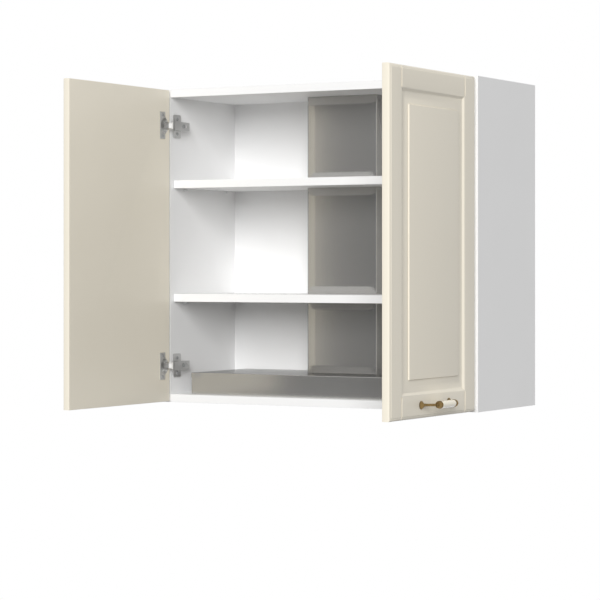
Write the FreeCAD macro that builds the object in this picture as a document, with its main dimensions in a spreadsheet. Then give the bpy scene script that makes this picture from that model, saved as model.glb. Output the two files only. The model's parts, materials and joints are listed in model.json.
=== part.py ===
"""Kitchen wall cabinet with two raised-panel doors and a cooker hood built in under its shelves.

The doors stand open at a right angle. X runs to the right, Y towards the wall and Z up. The wall plane
is Y = 0, and the origin lies midway between the two wall hooks. Heights in the formulas are measured
from the underside of the cabinet, and every piece is then lowered by the height of the hooks.
"""
import math
import os
import re

import FreeCAD
import Part
import Sketcher

DIMENSIONS = {
    # Carcass of coated chipboard, with a thin back panel in a groove
    "cabinet_width": 800,
    "cabinet_height": 720,
    "cabinet_depth": 300,
    "board": 18,
    "back_thick": 4,
    "back_gap": 10,
    "groove": 5,
    "hang_height": 680,
    "fixing_inset": 60,
    "dowel_radius": 4,
    "dowel_in_side": 12,
    "dowel_in_end": 18,
    # Shelves and their pegs
    "shelf_low": 231,
    "shelf_high": 493,
    "shelf_setback": 13,
    "play": 1,
    "peg_radius": 2.5,
    "peg_collar": 3.5,
    "peg_in_side": 9,
    "peg_reach": 8,
    # Wall hangers let into the rear edges
    "hook_spacing": 720,
    "hook_hole": 4.2,
    "hanger_outer": 396,
    "hanger_inner": 340,
    "hanger_tall": 40,
    "hanger_thick": 2,
    "screw_radius": 2,
    "screw_head": 4,
    # Hood of folded stainless sheet
    "steel": 1.2,
    "hood_width": 700,
    "hood_front": 262,
    "hood_back": 16,
    "hood_top": 67,
    "lid_lip": 11.5,
    "lid_round": 1.1,
    "vent_width": 600,
    "vent_front": 245,
    "vent_back": 35,
    "pan_low": 3,
    "window_front": 195,
    "window_back": 45,
    "window_inner": 14,
    "window_outer": 286,
    "control_line": 220,
    "lamp_place": 230,
    "lamp_radius": 20,
    "button_step": 30,
    "button_long": 14,
    "button_wide": 10,
    "button_play": 0.3,
    # Duct, blower and outlet
    "duct_middle": -12,
    "duct_width": 180,
    "duct_front": 152,
    "outlet_radius": 60,
    "outlet_wall": 2,
    "outlet_low": 608,
    "flap_height": 620.5,
    "flap_radius": 58.6,
    "spigot_deep": 40,
    "flap_thick": 1.6,
    "fan_low": 110,
    "fan_radius": 58,
    "fan_rim": 28,
    # Doors, placed by their open position at the hinge
    "door_width": 397,
    "door_height": 716,
    "door_thick": 18,
    "door_low": 2,
    "open_face": 2,
    "open_edge": 7.5,
    "stile": 52,
    "rail_top": 45,
    "rail_bottom": 47,
    "rim_step": 2.4,
    "rim_land": 5,
    "rim_rise": 2,
    "rim_round": 2.2,
    "slope_wide": 8.7,
    "slope_deep": 4.6,
    "cove_wide": 10.5,
    "bevel_wide": 13,
    "bevel_rise": 2.2,
    "field_step": 1.2,
    "joint_groove": 2.8,
    "joint_half": 2,
    # Handles
    "handle_height": 29,
    "handle_along": 195,
    "handle_half": 64,
    "handle_reach": 27,
    "head_half": 35,
    "leg_radius": 2.8,
    "grip_half": 28,
    "grip_radius": 7.7,
    "rod_radius": 2.5,
    "stud_in_door": 12,
    "stud_in_post": 5,
    # Hinges: two pivots on the arm, two in the cup, in the plane of the hinge
    "hinge_low": 84,
    "cup_middle": 21.5,
    "cup_radius": 17.5,
    "cup_wall": 0.8,
    "cup_deep": 12.4,
    "pivot_radius": 1.1,
    "running": 0.05,
    "inner_arm_u": 12.025,
    "inner_arm_v": 10.512,
    "inner_cup_along": 10.614,
    "inner_cup_deep": 6.337,
    "outer_arm_u": 12.997,
    "outer_arm_v": 2.982,
    "outer_cup_along": 9.822,
    "outer_cup_deep": 2.568,
    "link_half": 1,
    "barrel": 2,
    "inner_link_half": 5.5,
    "lug_low": 5.8,
    "lug_high": 6.7,
    "strap_low": 7,
    "strap_high": 8.1,
    "strap_bow": 1.5,
    "cheek_low": 8.4,
    "cheek_high": 9.5,
    "arm_back": 56,
}

doc = FreeCAD.newDocument("kitchen_wall_cabinet")
sheet = doc.addObject("Spreadsheet::Sheet", "Dims")
for row, (name, size) in enumerate(DIMENSIONS.items(), start=1):
    sheet.set(f"A{row}", name)
    sheet.set(f"B{row}", str(size))
    sheet.setAlias(f"B{row}", name)
doc.recompute()

nodes = []
AXES = {"x": FreeCAD.Vector(1, 0, 0), "y": FreeCAD.Vector(0, 1, 0), "z": FreeCAD.Vector(0, 0, 1)}
WALL_INSIDE = "cabinet_width / 2 - board"
DUCT_LEFT = "duct_middle - duct_width / 2"
OUTLET_LINE = "-(duct_front + hood_back) / 2"


# Formulas, placing and joining
def formula(text):
    """The text with the name of each dimension pointed at its cell."""
    def cell(word):
        return "Dims." + word.group() if word.group() in DIMENSIONS else word.group()
    return re.sub(r"[a-z][a-z_]*", cell, str(text))


def number(text):
    """What a formula comes to."""
    return float(sheet.evalExpression(formula(text)))


def place(piece, x, y, z):
    """Put a piece's own origin at this point, with the height measured from the underside."""
    piece.setExpression("Placement.Base.x", formula(x))
    piece.setExpression("Placement.Base.y", formula(y))
    piece.setExpression("Placement.Base.z", formula(f"{z} - hang_height"))
    return piece


def box(name, x, y, z):
    """A block, with each side given as its low end and its high end."""
    piece = doc.addObject("Part::Box", name)
    for side, (low, high) in zip(("Length", "Width", "Height"), (x, y, z)):
        piece.setExpression(side, formula(f"({high}) - ({low})"))
    return place(piece, x[0], y[0], z[0])


def rod(name, axis, radius, start, length):
    """A round bar from a starting point along one axis."""
    piece = doc.addObject("Part::Cylinder", name)
    piece.setExpression("Radius", formula(radius))
    piece.setExpression("Height", formula(length))
    piece.Placement.Rotation = FreeCAD.Rotation(AXES["z"], AXES[axis])
    return place(piece, *start)


def fuse(name, *pieces):
    """One solid made of several."""
    joined = doc.addObject("Part::MultiFuse", name)
    joined.Shapes = list(pieces)
    return joined


def group(name, *pieces):
    """Separate solids kept together."""
    together = doc.addObject("Part::Compound", name)
    together.Links = list(pieces)
    return together


def cut(name, base, *tools):
    """A solid with others taken out of it."""
    result = doc.addObject("Part::Cut", name)
    result.Base = base
    result.Tool = tools[0] if len(tools) == 1 else fuse(name + "_tools", *tools)
    return result


def mirror(name, source, axis, middle="0"):
    """The same piece on the other side of a plane square to one axis."""
    image = doc.addObject("Part::Mirroring", name)
    image.Source = source
    image.Normal = AXES[axis]
    image.setExpression("Base." + axis, formula(middle))
    return image


def pair(name, source, axis, middle="0"):
    """A piece and its mirror image as one group."""
    return group(name, source, mirror(name + "_image", source, axis, middle))


def node(label, piece):
    """Name a finished sub-part."""
    piece.Label = label
    nodes.append(piece)
    return piece


# Sketches and bodies
def new_body(name, x="0", y="0", z="0", axis="z"):
    """An empty body whose own Z axis points along one axis of the cabinet."""
    body = doc.addObject("PartDesign::Body", name)
    direction = -AXES[axis[1]] if axis[0] == "-" else AXES[axis]
    body.Placement.Rotation = FreeCAD.Rotation(AXES["z"], direction)
    return place(body, x, y, z)


def new_sketch(body, name, role, offset="0"):
    """An empty sketch on one of the body's own planes, moved along the plane's normal."""
    drawing = body.newObject("Sketcher::SketchObject", name)
    plane = next(item for item in body.Origin.OriginFeatures if item.Role == role)
    drawing.AttachmentSupport = [(plane, "")]
    drawing.MapMode = "FlatFace"
    drawing.setExpression("AttachmentOffset.Base.z", formula(offset))
    return drawing


def pin_down(drawing, geometry, point, x, y):
    """Hold one point of a sketch at two formulas."""
    for axis, text, own_axis in (("X", x, -2), ("Y", y, -1)):
        value = number(text)
        if abs(value) < 1e-9:
            drawing.addConstraint(Sketcher.Constraint("PointOnObject", geometry, point, own_axis))
            continue
        index = drawing.addConstraint(Sketcher.Constraint("Distance" + axis, -1, 1, geometry, point, value))
        drawing.setExpression(f"Constraints[{index}]", formula(text))


def draw_outline(drawing, points):
    """A closed straight-sided outline through corners given as formulas."""
    corners = [FreeCAD.Vector(number(x), number(y), 0) for x, y in points]
    first = drawing.GeometryCount
    count = len(corners)
    for index, corner in enumerate(corners):
        drawing.addGeometry(Part.LineSegment(corner, corners[(index + 1) % count]))
    for index, (x, y) in enumerate(points):
        following = first + (index + 1) % count
        drawing.addConstraint(Sketcher.Constraint("Coincident", first + index, 2, following, 1))
        pin_down(drawing, first + index, 1, x, y)


def draw_rectangle(drawing, left, right, low, high):
    """A rectangle between four formulas."""
    draw_outline(drawing, [(left, low), (right, low), (right, high), (left, high)])


def draw_circle(drawing, x, y, radius):
    """A circle round a point given as formulas."""
    centre = FreeCAD.Vector(number(x), number(y), 0)
    index = drawing.addGeometry(Part.Circle(centre, AXES["z"], number(radius)))
    pin_down(drawing, index, 3, x, y)
    size = drawing.addConstraint(Sketcher.Constraint("Radius", index, number(radius)))
    drawing.setExpression(f"Constraints[{size}]", formula(radius))


def pad(body, drawing, length, side="One side", reverse=False):
    """Raise a sketch into a solid."""
    feature = body.newObject("PartDesign::Pad", drawing.Name + "_pad")
    feature.Profile = drawing
    feature.SideType = side
    feature.Reversed = reverse
    feature.setExpression("Length", formula(length))
    return feature


def pocket(body, drawing, length, side="One side", reverse=False):
    """Sink a sketch into the solid so far, and make sure that it took something away."""
    doc.recompute()
    before = body.Shape.Volume
    feature = body.newObject("PartDesign::Pocket", drawing.Name + "_pocket")
    feature.Profile = drawing
    feature.SideType = side
    feature.Reversed = reverse
    feature.setExpression("Length", formula(length))
    doc.recompute()
    if body.Shape.Volume >= before:
        raise RuntimeError(feature.Name + " takes nothing away")
    return feature


def turned(name, points, x, y, z, axis="z"):
    """A turned piece: an outline of radius and height spun round the body's own Z axis."""
    body = new_body(name, x, y, z, axis)
    drawing = new_sketch(body, name + "_profile", "XZ_Plane")
    draw_outline(drawing, points)
    feature = body.newObject("PartDesign::Revolution", name + "_turned")
    feature.Profile = drawing
    feature.ReferenceAxis = (drawing, ["V_Axis"])
    feature.Angle = 360
    return body


def rounded(name, base, radius, chosen):
    """A solid with the chosen edges rounded."""
    doc.recompute()
    size = number(radius)
    edges = [(i, size, size) for i, edge in enumerate(base.Shape.Edges, start=1) if chosen(edge.BoundBox)]
    piece = doc.addObject("Part::Fillet", name)
    piece.Base = base
    piece.Edges = edges
    return piece


# Places that several pieces share
BACK_FACE = "-(back_gap + back_thick)"
MID_DEPTH = "-cabinet_depth / 2"
MID_HEIGHT = "cabinet_height / 2 - hang_height"
HIGH_HINGE = "cabinet_height - hinge_low"


def hinge_x(u):
    """A place measured from the left side's inner face towards the room inside."""
    return f"board - cabinet_width / 2 + ({u})"


def hinge_y(v):
    """A place measured forwards from the front edge of the carcass."""
    return f"-cabinet_depth - ({v})"


# Dowels, pegs and screws that the boards are bored for
def on_both_sides(name, piece, across_depth=True, height_middle=MID_HEIGHT):
    """A fixing repeated front and rear, low and high, left and right."""
    if across_depth:
        piece = pair(name + "_depth", piece, "y", MID_DEPTH)
    if height_middle:
        piece = pair(name + "_height", piece, "z", height_middle)
    return pair(name, piece, "x")


dowel = rod("dowel", "x", "dowel_radius", (hinge_x("-dowel_in_side"), "-fixing_inset", "board / 2"),
            "dowel_in_side + dowel_in_end")
dowels = node("carcass_dowels", on_both_sides("dowels", dowel))

peg = turned("peg", [("0", "-peg_in_side"), ("peg_radius", "-peg_in_side"), ("peg_radius", "0"),
                     ("peg_collar", "0"), ("peg_collar", "play"), ("peg_radius", "play"),
                     ("peg_radius", "peg_reach"), ("0", "peg_reach")],
             hinge_x("0"), "-fixing_inset", "shelf_low - peg_radius", "x")
pegs = node("shelf_pegs", on_both_sides("pegs", peg, True,
                                        "(shelf_low + shelf_high) / 2 - peg_radius - hang_height"))

SCREW_SPOT = 14
SCREW_DEEP = 30
hanger_screw = turned("hanger_screw", [("0", f"-{SCREW_DEEP}"), ("screw_radius", f"-{SCREW_DEEP - 4}"),
                                       ("screw_radius", "-hanger_thick"), ("screw_head", "0"), ("0", "0")],
                      hinge_x("-board / 2"), "0", f"hang_height - {SCREW_SPOT}", "y")
hanger_screws_left = pair("hanger_screws_left", hanger_screw, "z")
hanger_screws = node("hanger_screws", pair("hanger_screws", hanger_screws_left, "x"))

# Hinge screws are set out before the side panels, which they bite into
WING_FRONT = "9.5"
WING_BACK = "40.5"
WING_THICK = "2.5"
WING_SCREW_DEEP = 12
WING_SCREW_SPOT = 17
WING_HEAD = WING_THICK + " + 1.6"
wing_screw = turned("wing_screw", [("0", f"-{WING_SCREW_DEEP}"), ("screw_radius", f"-{WING_SCREW_DEEP - 3}"),
                                   ("screw_radius", WING_THICK), ("screw_head", WING_THICK),
                                   ("screw_head - 0.8", WING_HEAD), ("0", WING_HEAD)],
                    hinge_x("0"), hinge_y(f"-({WING_FRONT} + {WING_BACK}) / 2"),
                    f"hinge_low + {WING_SCREW_SPOT}", "x")
wing_screws = pair("wing_screw_pair", wing_screw, "z", "hinge_low - hang_height")
plate_screws = node("hinge_plate_screws", on_both_sides("plate_screws", wing_screws, False))

# Boards of the carcass
side_blank = box("side_blank", ("-cabinet_width / 2", "board - cabinet_width / 2"),
                 ("-cabinet_depth", "0"), ("0", "cabinet_height"))
back_panel = box("back_board", (f"-({WALL_INSIDE} + groove)", f"{WALL_INSIDE} + groove"),
                 (BACK_FACE, "-back_gap"), ("board - groove", "cabinet_height - board + groove"))
hanger_blank = box("hanger_blank", ("-hanger_outer", "-hanger_inner"), ("-hanger_thick", "0"),
                   ("hang_height - hanger_tall / 2", "hang_height + hanger_tall / 2"))
side_left = cut("side_left", side_blank, back_panel, dowels, pegs, plate_screws, hanger_blank,
                hanger_screws)
node("side_panel_left", side_left)
node("side_panel_right", mirror("side_right", side_left, "x"))
node("back_panel", back_panel)

hook_hole = rod("hook_hole", "y", "hook_hole", ("-hook_spacing / 2", "-2 * hanger_thick", "hang_height"),
                "3 * hanger_thick")
hanger_left = cut("hanger_left", hanger_blank, hook_hole, hanger_screws)
node("hanger_plates", pair("hangers", hanger_left, "x"))

top_blank = box("top_blank", (f"-({WALL_INSIDE})", WALL_INSIDE), ("-cabinet_depth", "0"),
                ("cabinet_height - board", "cabinet_height"))
outlet_hole = rod("outlet_hole", "z", "outlet_radius + outlet_wall + play / 2",
                  ("duct_middle", OUTLET_LINE, "cabinet_height - 2 * board"), "3 * board")
node("top_panel", cut("top_board", top_blank, back_panel, dowels, outlet_hole))

# Screws through the hood's flange into the bottom panel
FLANGE_SCREW = "(hood_width + vent_width) / 4"
FLANGE_SCREW_DEEP = 14
flange_screw = turned("flange_screw", [("0", f"-{FLANGE_SCREW_DEEP}"),
                                       ("screw_radius", f"-{FLANGE_SCREW_DEEP - 3}"),
                                       ("screw_radius", "steel"), ("screw_head", "steel"),
                                       ("screw_head - 1", "steel + 2.2"), ("0", "steel + 2.2")],
                      "-" + FLANGE_SCREW, "-vent_back", "board")
flange_screws_left = pair("flange_screws_left", flange_screw, "y", "-(vent_front + vent_back) / 2")
hood_screws = node("hood_screws", pair("flange_screws", flange_screws_left, "x"))

bottom_blank = box("bottom_blank", (f"-({WALL_INSIDE})", WALL_INSIDE), ("-cabinet_depth", "0"),
                   ("0", "board"))
vent_hole = box("vent_hole", ("-vent_width / 2", "vent_width / 2"), ("-vent_front", "-vent_back"),
                ("-board", "2 * board"))
node("bottom_panel", cut("bottom_board", bottom_blank, back_panel, dowels, vent_hole, hood_screws))


# Shelves, notched at the rear for the duct
def shelf(name, height):
    board = box(name + "_blank", (f"play - ({WALL_INSIDE})", f"{WALL_INSIDE} - play"),
                ("shelf_setback - cabinet_depth", BACK_FACE + " - play"), (height, height + " + board"))
    notch = box(name + "_notch", (f"{DUCT_LEFT} - 2 * play", "duct_middle + duct_width / 2 + 2 * play"),
                ("-duct_front - 2 * play", "0"), (height + " - board", height + " + 2 * board"))
    return cut(name + "_board", board, notch)


node("shelf_lower", shelf("low_shelf", "shelf_low"))
node("shelf_upper", shelf("high_shelf", "shelf_high"))

# Hood casing: a tray on the bottom panel with a pan that lines the opening
LID_X = "hood_width / 2 - steel"
LID_FRONT = "steel - hood_front"
LID_BACK = "-(hood_back + steel)"
PAN_TOP = "pan_low + steel"
BUTTONS = ["light", "low", "medium", "high"]


def button_x(index, half_width):
    """The two sides of a push button's place in the row."""
    middle = f"button_step * ({index} - {(len(BUTTONS) - 1) / 2})"
    return f"{middle} - ({half_width})", f"{middle} + ({half_width})"


def across(half_width):
    """The front and back of a place on the line of the controls."""
    return f"-control_line - ({half_width})", f"-control_line + ({half_width})"


tray = box("tray", (f"-({LID_X})", LID_X), (LID_FRONT, LID_BACK), ("board", "hood_top - steel"))
tray_room = box("tray_room", (f"steel - ({LID_X})", f"{LID_X} - steel"),
                (f"{LID_FRONT} + steel", f"{LID_BACK} - steel"), ("board + steel", "hood_top"))
pan = box("pan", ("play / 2 - vent_width / 2", "vent_width / 2 - play / 2"),
          ("play / 2 - vent_front", "-vent_back - play / 2"), ("pan_low", "board + steel"))
pan_room = box("pan_room", ("play / 2 + steel - vent_width / 2", "vent_width / 2 - play / 2 - steel"),
               ("play / 2 + steel - vent_front", "-vent_back - play / 2 - steel"), (PAN_TOP, "hood_top"))
window = box("window", ("-window_outer", "-window_inner"), ("-window_front", "-window_back"), ("0", "board"))
lamp_hole = rod("lamp_hole", "z", "lamp_radius", ("-lamp_place", "-control_line", "0"), "board")
button_holes = [box(f"button_hole_{label}", button_x(index, "button_long / 2 + button_play"),
                    across("button_wide / 2 + button_play"), ("0", "board"))
                for index, label in enumerate(BUTTONS)]
node("hood_casing", cut("casing", fuse("casing_blank", tray, pan), tray_room, pan_room, hood_screws,
                        pair("windows", window, "x"), pair("lamp_holes", lamp_hole, "x"), *button_holes))

# Hood lid with a lip turned down over the tray
GLAND_X = "310"
GLAND_Y = "-48"
GLAND_RADIUS = "8"
lid_block = box("lid_block", ("-hood_width / 2", "hood_width / 2"), ("-hood_front", "-hood_back"),
                ("hood_top - lid_lip", "hood_top"))
lid_round = rounded("lid_round", lid_block, "lid_round",
                    lambda edge: edge.ZMin > number("hood_top - hang_height") - 0.1 or edge.ZLength > 1)
lid_room = box("lid_room", (f"-({LID_X})", LID_X), (LID_FRONT, LID_BACK), ("board", "hood_top - steel"))
duct_hole = box("duct_hole", (f"{DUCT_LEFT} + 10", "duct_middle + duct_width / 2 - 10"),
                ("10 - duct_front", "-hood_back - 10"), ("board", "2 * hood_top"))
gland_hole = rod("gland_hole", "z", GLAND_RADIUS, (GLAND_X, GLAND_Y, "board"), "hood_top")
node("hood_lid", cut("lid", lid_round, lid_room, duct_hole, gland_hole))

node("cable_gland", turned("gland", [("4", "-9"), (GLAND_RADIUS, "-9"), (GLAND_RADIUS, "0"), ("12", "0"),
                                     ("12", "4"), ("10", "5"), ("10", "10"), ("6.5", "15"), ("4", "15")],
                           GLAND_X, GLAND_Y, "hood_top"))

# Grease filters: a frame with rear tabs, a punched sheet in it and a sliding latch in front
FILTER_LOW = "pan_low + steel + 1.5"
FILTER_TALL = "6"
FILTER_BAR = "12"
FILTER_SIDES = ("play / 2 - window_outer", "-window_inner - play / 2")
FILTER_DEPTH = ("play / 2 - window_front", "-window_back - play / 2")
FILTER_MIDDLE = "-(window_outer + window_inner) / 2"
SLOT_COLUMNS = 8
SLOT_ROWS = 10
SLOT_LONG = "22"
SLOT_WIDE = "6"
frame_block = box("frame_block", FILTER_SIDES, FILTER_DEPTH,
                  (FILTER_LOW, f"{FILTER_LOW} + {FILTER_TALL}"))
frame_inner = [(f"{FILTER_SIDES[0]} + {FILTER_BAR}", f"{FILTER_SIDES[1]} - {FILTER_BAR}"),
               (f"{FILTER_DEPTH[0]} + {FILTER_BAR}", f"{FILTER_DEPTH[1]} - {FILTER_BAR}")]
frame_room = box("frame_room", *frame_inner, ("0", "hood_top"))
tab = box("tab", (f"{FILTER_MIDDLE} - 90", f"{FILTER_MIDDLE} - 70"),
          (f"-window_back - {FILTER_BAR}", "7 - window_back"), (PAN_TOP, FILTER_LOW))
tabs = pair("tabs", tab, "x", FILTER_MIDDLE)
frame_left = fuse("frame_left", cut("frame_ring", frame_block, frame_room), *tabs.Links)
node("filter_frame_left", frame_left)
node("filter_frame_right", mirror("frame_right", frame_left, "x"))

punched = new_body("punched", "0", "0", FILTER_LOW + " + 2")
punched_outline = new_sketch(punched, "punched_outline", "XY_Plane")
draw_rectangle(punched_outline, *frame_inner[0], *frame_inner[1])
pad(punched, punched_outline, "1.2")
first_slot = new_sketch(punched, "first_slot", "XY_Plane")
SLOT_SIDE = "5"
SLOT_END = "4"
(sheet_left, sheet_right), (sheet_front, sheet_back) = frame_inner
draw_rectangle(first_slot, f"{sheet_left} + {SLOT_SIDE}", f"{sheet_left} + {SLOT_SIDE} + {SLOT_LONG}",
               f"{sheet_front} + {SLOT_END}", f"{sheet_front} + {SLOT_END} + {SLOT_WIDE}")
slot = pocket(punched, first_slot, "3", "Symmetric")
rows = punched.newObject("PartDesign::MultiTransform", "slot_rows")
rows.Originals = [slot]
patterns = []
ROOM_ACROSS = f"{sheet_right} - ({sheet_left}) - 2 * {SLOT_SIDE} - {SLOT_LONG}"
ROOM_DEEP = f"{sheet_back} - ({sheet_front}) - 2 * {SLOT_END} - {SLOT_WIDE}"
for pattern_name, direction, count, room in (("slot_columns", "H_Axis", SLOT_COLUMNS, ROOM_ACROSS),
                                             ("slot_lines", "V_Axis", SLOT_ROWS, ROOM_DEEP)):
    pattern = punched.newObject("PartDesign::LinearPattern", pattern_name)
    pattern.Direction = (first_slot, [direction])
    pattern.setExpression("Length", formula(room))
    pattern.Occurrences = count
    patterns.append(pattern)
rows.Transformations = patterns
punched.Tip = rows
node("filter_mesh_left", punched)
node("filter_mesh_right", mirror("punched_right", punched, "x"))

LATCH_HALF = "15"
tongue = box("tongue", (f"{FILTER_MIDDLE} - {LATCH_HALF}", f"{FILTER_MIDDLE} + {LATCH_HALF}"),
             ("-window_front - 2", "12 - window_front"), (f"{PAN_TOP} + 0.1", f"{FILTER_LOW} - 0.2"))
thumb_rib = box("thumb_rib", (f"{FILTER_MIDDLE} - {LATCH_HALF}", f"{FILTER_MIDDLE} + {LATCH_HALF}"),
                ("6 - window_front", "8 - window_front"), ("1.5", f"{PAN_TOP} + 0.1"))
latch_left = fuse("latch_left", tongue, thumb_rib)
node("filter_latch_left", latch_left)
node("filter_latch_right", mirror("latch_right", latch_left, "x"))

# Lamps and push buttons on the front strip of the pan
lens = turned("lens", [("0", "-1.5"), ("lamp_radius - 3", "-1.5"), ("lamp_radius", "0"),
                       ("lamp_radius", "steel"), ("lamp_radius + 3", "steel"), ("lamp_radius + 3", "5"),
                       ("0", "5")],
              "-lamp_place", "-control_line", "pan_low")
node("lamp_lenses", pair("lenses", lens, "x"))

FLANGE_LOW = f"{PAN_TOP} + 0.3"
FLANGE_THICK = "2"
STEM_RADIUS = "2.5"
SWITCH_TOP = "20"
SWITCH_HALF = "12"
SWITCH_END = "19"
switch_block = box("switch_block", (button_x(0, SWITCH_END)[0], button_x(len(BUTTONS) - 1, SWITCH_END)[1]),
                   across(SWITCH_HALF), (PAN_TOP, SWITCH_TOP))
switch_rooms = []
for index, label in enumerate(BUTTONS):
    cap = box(f"cap_{label}", button_x(index, "button_long / 2"), across("button_wide / 2"),
              ("1", FLANGE_LOW))
    cap_round = rounded(f"cap_round_{label}", cap, "0.8",
                        lambda edge: edge.ZMax < number("2 - hang_height"))
    flange = box(f"flange_{label}", button_x(index, "button_long / 2 + 1.5"), across("button_wide / 2 + 1.5"),
                 (FLANGE_LOW, f"{FLANGE_LOW} + {FLANGE_THICK}"))
    stem_x = f"button_step * ({index} - {(len(BUTTONS) - 1) / 2})"
    stem = rod(f"stem_{label}", "z", STEM_RADIUS,
               (stem_x, "-control_line", f"{FLANGE_LOW} + {FLANGE_THICK}"), "8")
    node(f"button_{label}", fuse(f"button_{label}_solid", cap_round, flange, stem))
    switch_rooms.append(box(f"flange_room_{label}", button_x(index, "button_long / 2 + 2"),
                            across("button_wide / 2 + 2"), ("0", f"{PAN_TOP} + 5.5")))
    switch_rooms.append(rod(f"stem_room_{label}", "z", f"{STEM_RADIUS} + button_play",
                            (stem_x, "-control_line", PAN_TOP), "14"))
node("control_box", cut("switch_box", switch_block, *switch_rooms))

# Duct casing from the lid up to the top panel
DUCT_X = (DUCT_LEFT, "duct_middle + duct_width / 2")
DUCT_Y = ("-duct_front", "-hood_back")
duct_block = box("duct_block", DUCT_X, DUCT_Y, ("hood_top", "cabinet_height - board"))
duct_room = box("duct_room", (f"{DUCT_X[0]} + steel", f"{DUCT_X[1]} - steel"),
                (f"{DUCT_Y[0]} + steel", f"{DUCT_Y[1]} - steel"),
                ("hood_top + steel", "cabinet_height - board - steel"))
duct_top_hole = rod("duct_top_hole", "z", "outlet_radius + outlet_wall",
                    ("duct_middle", OUTLET_LINE, "shelf_high"), "cabinet_height")
node("duct_casing", cut("duct", duct_block, duct_room, duct_hole, duct_top_hole))

# Outlet collar with a pair of flaps that fall shut
DUCT_TOP = "cabinet_height - board - steel"
flap_pin = rod("flap_pin", "y", "1.5", ("duct_middle", f"{OUTLET_LINE} - outlet_radius - 1", "flap_height"),
               "2 * outlet_radius + 2")
OUTER = "outlet_radius + outlet_wall"
LEDGE_TOP = "flap_height - flap_thick / 2 - 0.3"
LEDGE_LOW = f"{LEDGE_TOP} - 3"
LEDGE = "outlet_radius - 2.5"
BORE = "outlet_radius - 0.6"
SPIGOT_LOW = "cabinet_height - spigot_deep"
collar_blank = turned("collar", [
    (OUTER, "outlet_low"), (OUTER, f"{DUCT_TOP} - 2"), (f"{OUTER} + 4", f"{DUCT_TOP} - 2"),
    (f"{OUTER} + 4", DUCT_TOP), (OUTER, DUCT_TOP), (OUTER, "cabinet_height"),
    ("outlet_radius", "cabinet_height"), ("outlet_radius", SPIGOT_LOW), (BORE, SPIGOT_LOW), (BORE, LEDGE_TOP),
    (LEDGE, LEDGE_TOP), (LEDGE, LEDGE_LOW), (BORE, LEDGE_LOW), (BORE, "outlet_low")],
    "duct_middle", OUTLET_LINE, "0")
node("outlet_collar", cut("collar_bored", collar_blank, flap_pin))
node("damper_pin", flap_pin)

disc = rod("disc", "z", "flap_radius", ("duct_middle", OUTLET_LINE, "flap_height - flap_thick / 2"),
           "flap_thick")
not_left = box("not_left", ("duct_middle - 3.6", "duct_middle + outlet_radius"),
               (f"{OUTLET_LINE} - outlet_radius", f"{OUTLET_LINE} + outlet_radius"),
               ("outlet_low", "cabinet_height"))
KNUCKLE_LONG = "50"
KNUCKLE_FRONT = f"{OUTLET_LINE} - {KNUCKLE_LONG} - 2"
knuckle = rod("knuckle", "y", "3.2", ("duct_middle", KNUCKLE_FRONT, "flap_height"), KNUCKLE_LONG)
web = box("web", ("duct_middle - 5", "duct_middle"), (KNUCKLE_FRONT, f"{OUTLET_LINE} - 2"),
          ("flap_height - flap_thick / 2", "flap_height + flap_thick / 2"))
knuckle_bore = rod("knuckle_bore", "y", "1.6",
                   ("duct_middle", f"{OUTLET_LINE} - outlet_radius", "flap_height"), "2 * outlet_radius")
flap_left = cut("flap_left", fuse("flap_solid", cut("half_disc", disc, not_left), knuckle, web), knuckle_bore)
node("damper_flap_left", flap_left)
turned_flap = mirror("flap_other_side", flap_left, "x", "duct_middle")
node("damper_flap_right", mirror("flap_right", turned_flap, "y", OUTLET_LINE))

# Axial blower: a plate with a ring and a bridge, the motor on the bridge and the impeller below it
FAN_TOP = "fan_low + steel + fan_rim"
BRIDGE_THICK = "2"
fan_sheet = box("fan_sheet", (f"{DUCT_X[0]} + steel + 0.2", f"{DUCT_X[1]} - steel - 0.2"),
                (f"{DUCT_Y[0]} + steel + 0.2", f"{DUCT_Y[1]} - steel - 0.2"), ("fan_low", "fan_low + steel"))
fan_ring = rod("fan_ring", "z", "fan_radius + 2", ("duct_middle", OUTLET_LINE, "fan_low"),
               "fan_rim + steel")
fan_bore = rod("fan_bore", "z", "fan_radius", ("duct_middle", OUTLET_LINE, "0"), "cabinet_height")
bridge = box("bridge", ("duct_middle - fan_radius - 2", "duct_middle + fan_radius + 2"),
             (f"{OUTLET_LINE} - 9", f"{OUTLET_LINE} + 9"), (FAN_TOP, f"{FAN_TOP} + {BRIDGE_THICK}"))
SHAFT = "3"
shaft_hole = rod("shaft_hole", "z", f"{SHAFT} + 0.6", ("duct_middle", OUTLET_LINE, "0"), "cabinet_height")
fan_frame = fuse("fan_frame", cut("fan_tube", fuse("fan_blank", fan_sheet, fan_ring), fan_bore), bridge)
node("fan_plate", cut("fan_holder", fan_frame, shaft_hole))
node("fan_motor", turned("motor", [(f"{SHAFT} + running", "0"), ("26", "0"), ("26", "36"), ("23", "40"),
                                   ("12", "40"), ("12", "45"), ("0", "45"), ("0", "30"),
                                   (f"{SHAFT} + running", "30")],
                         "duct_middle", OUTLET_LINE, f"{FAN_TOP} + {BRIDGE_THICK}"))

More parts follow.
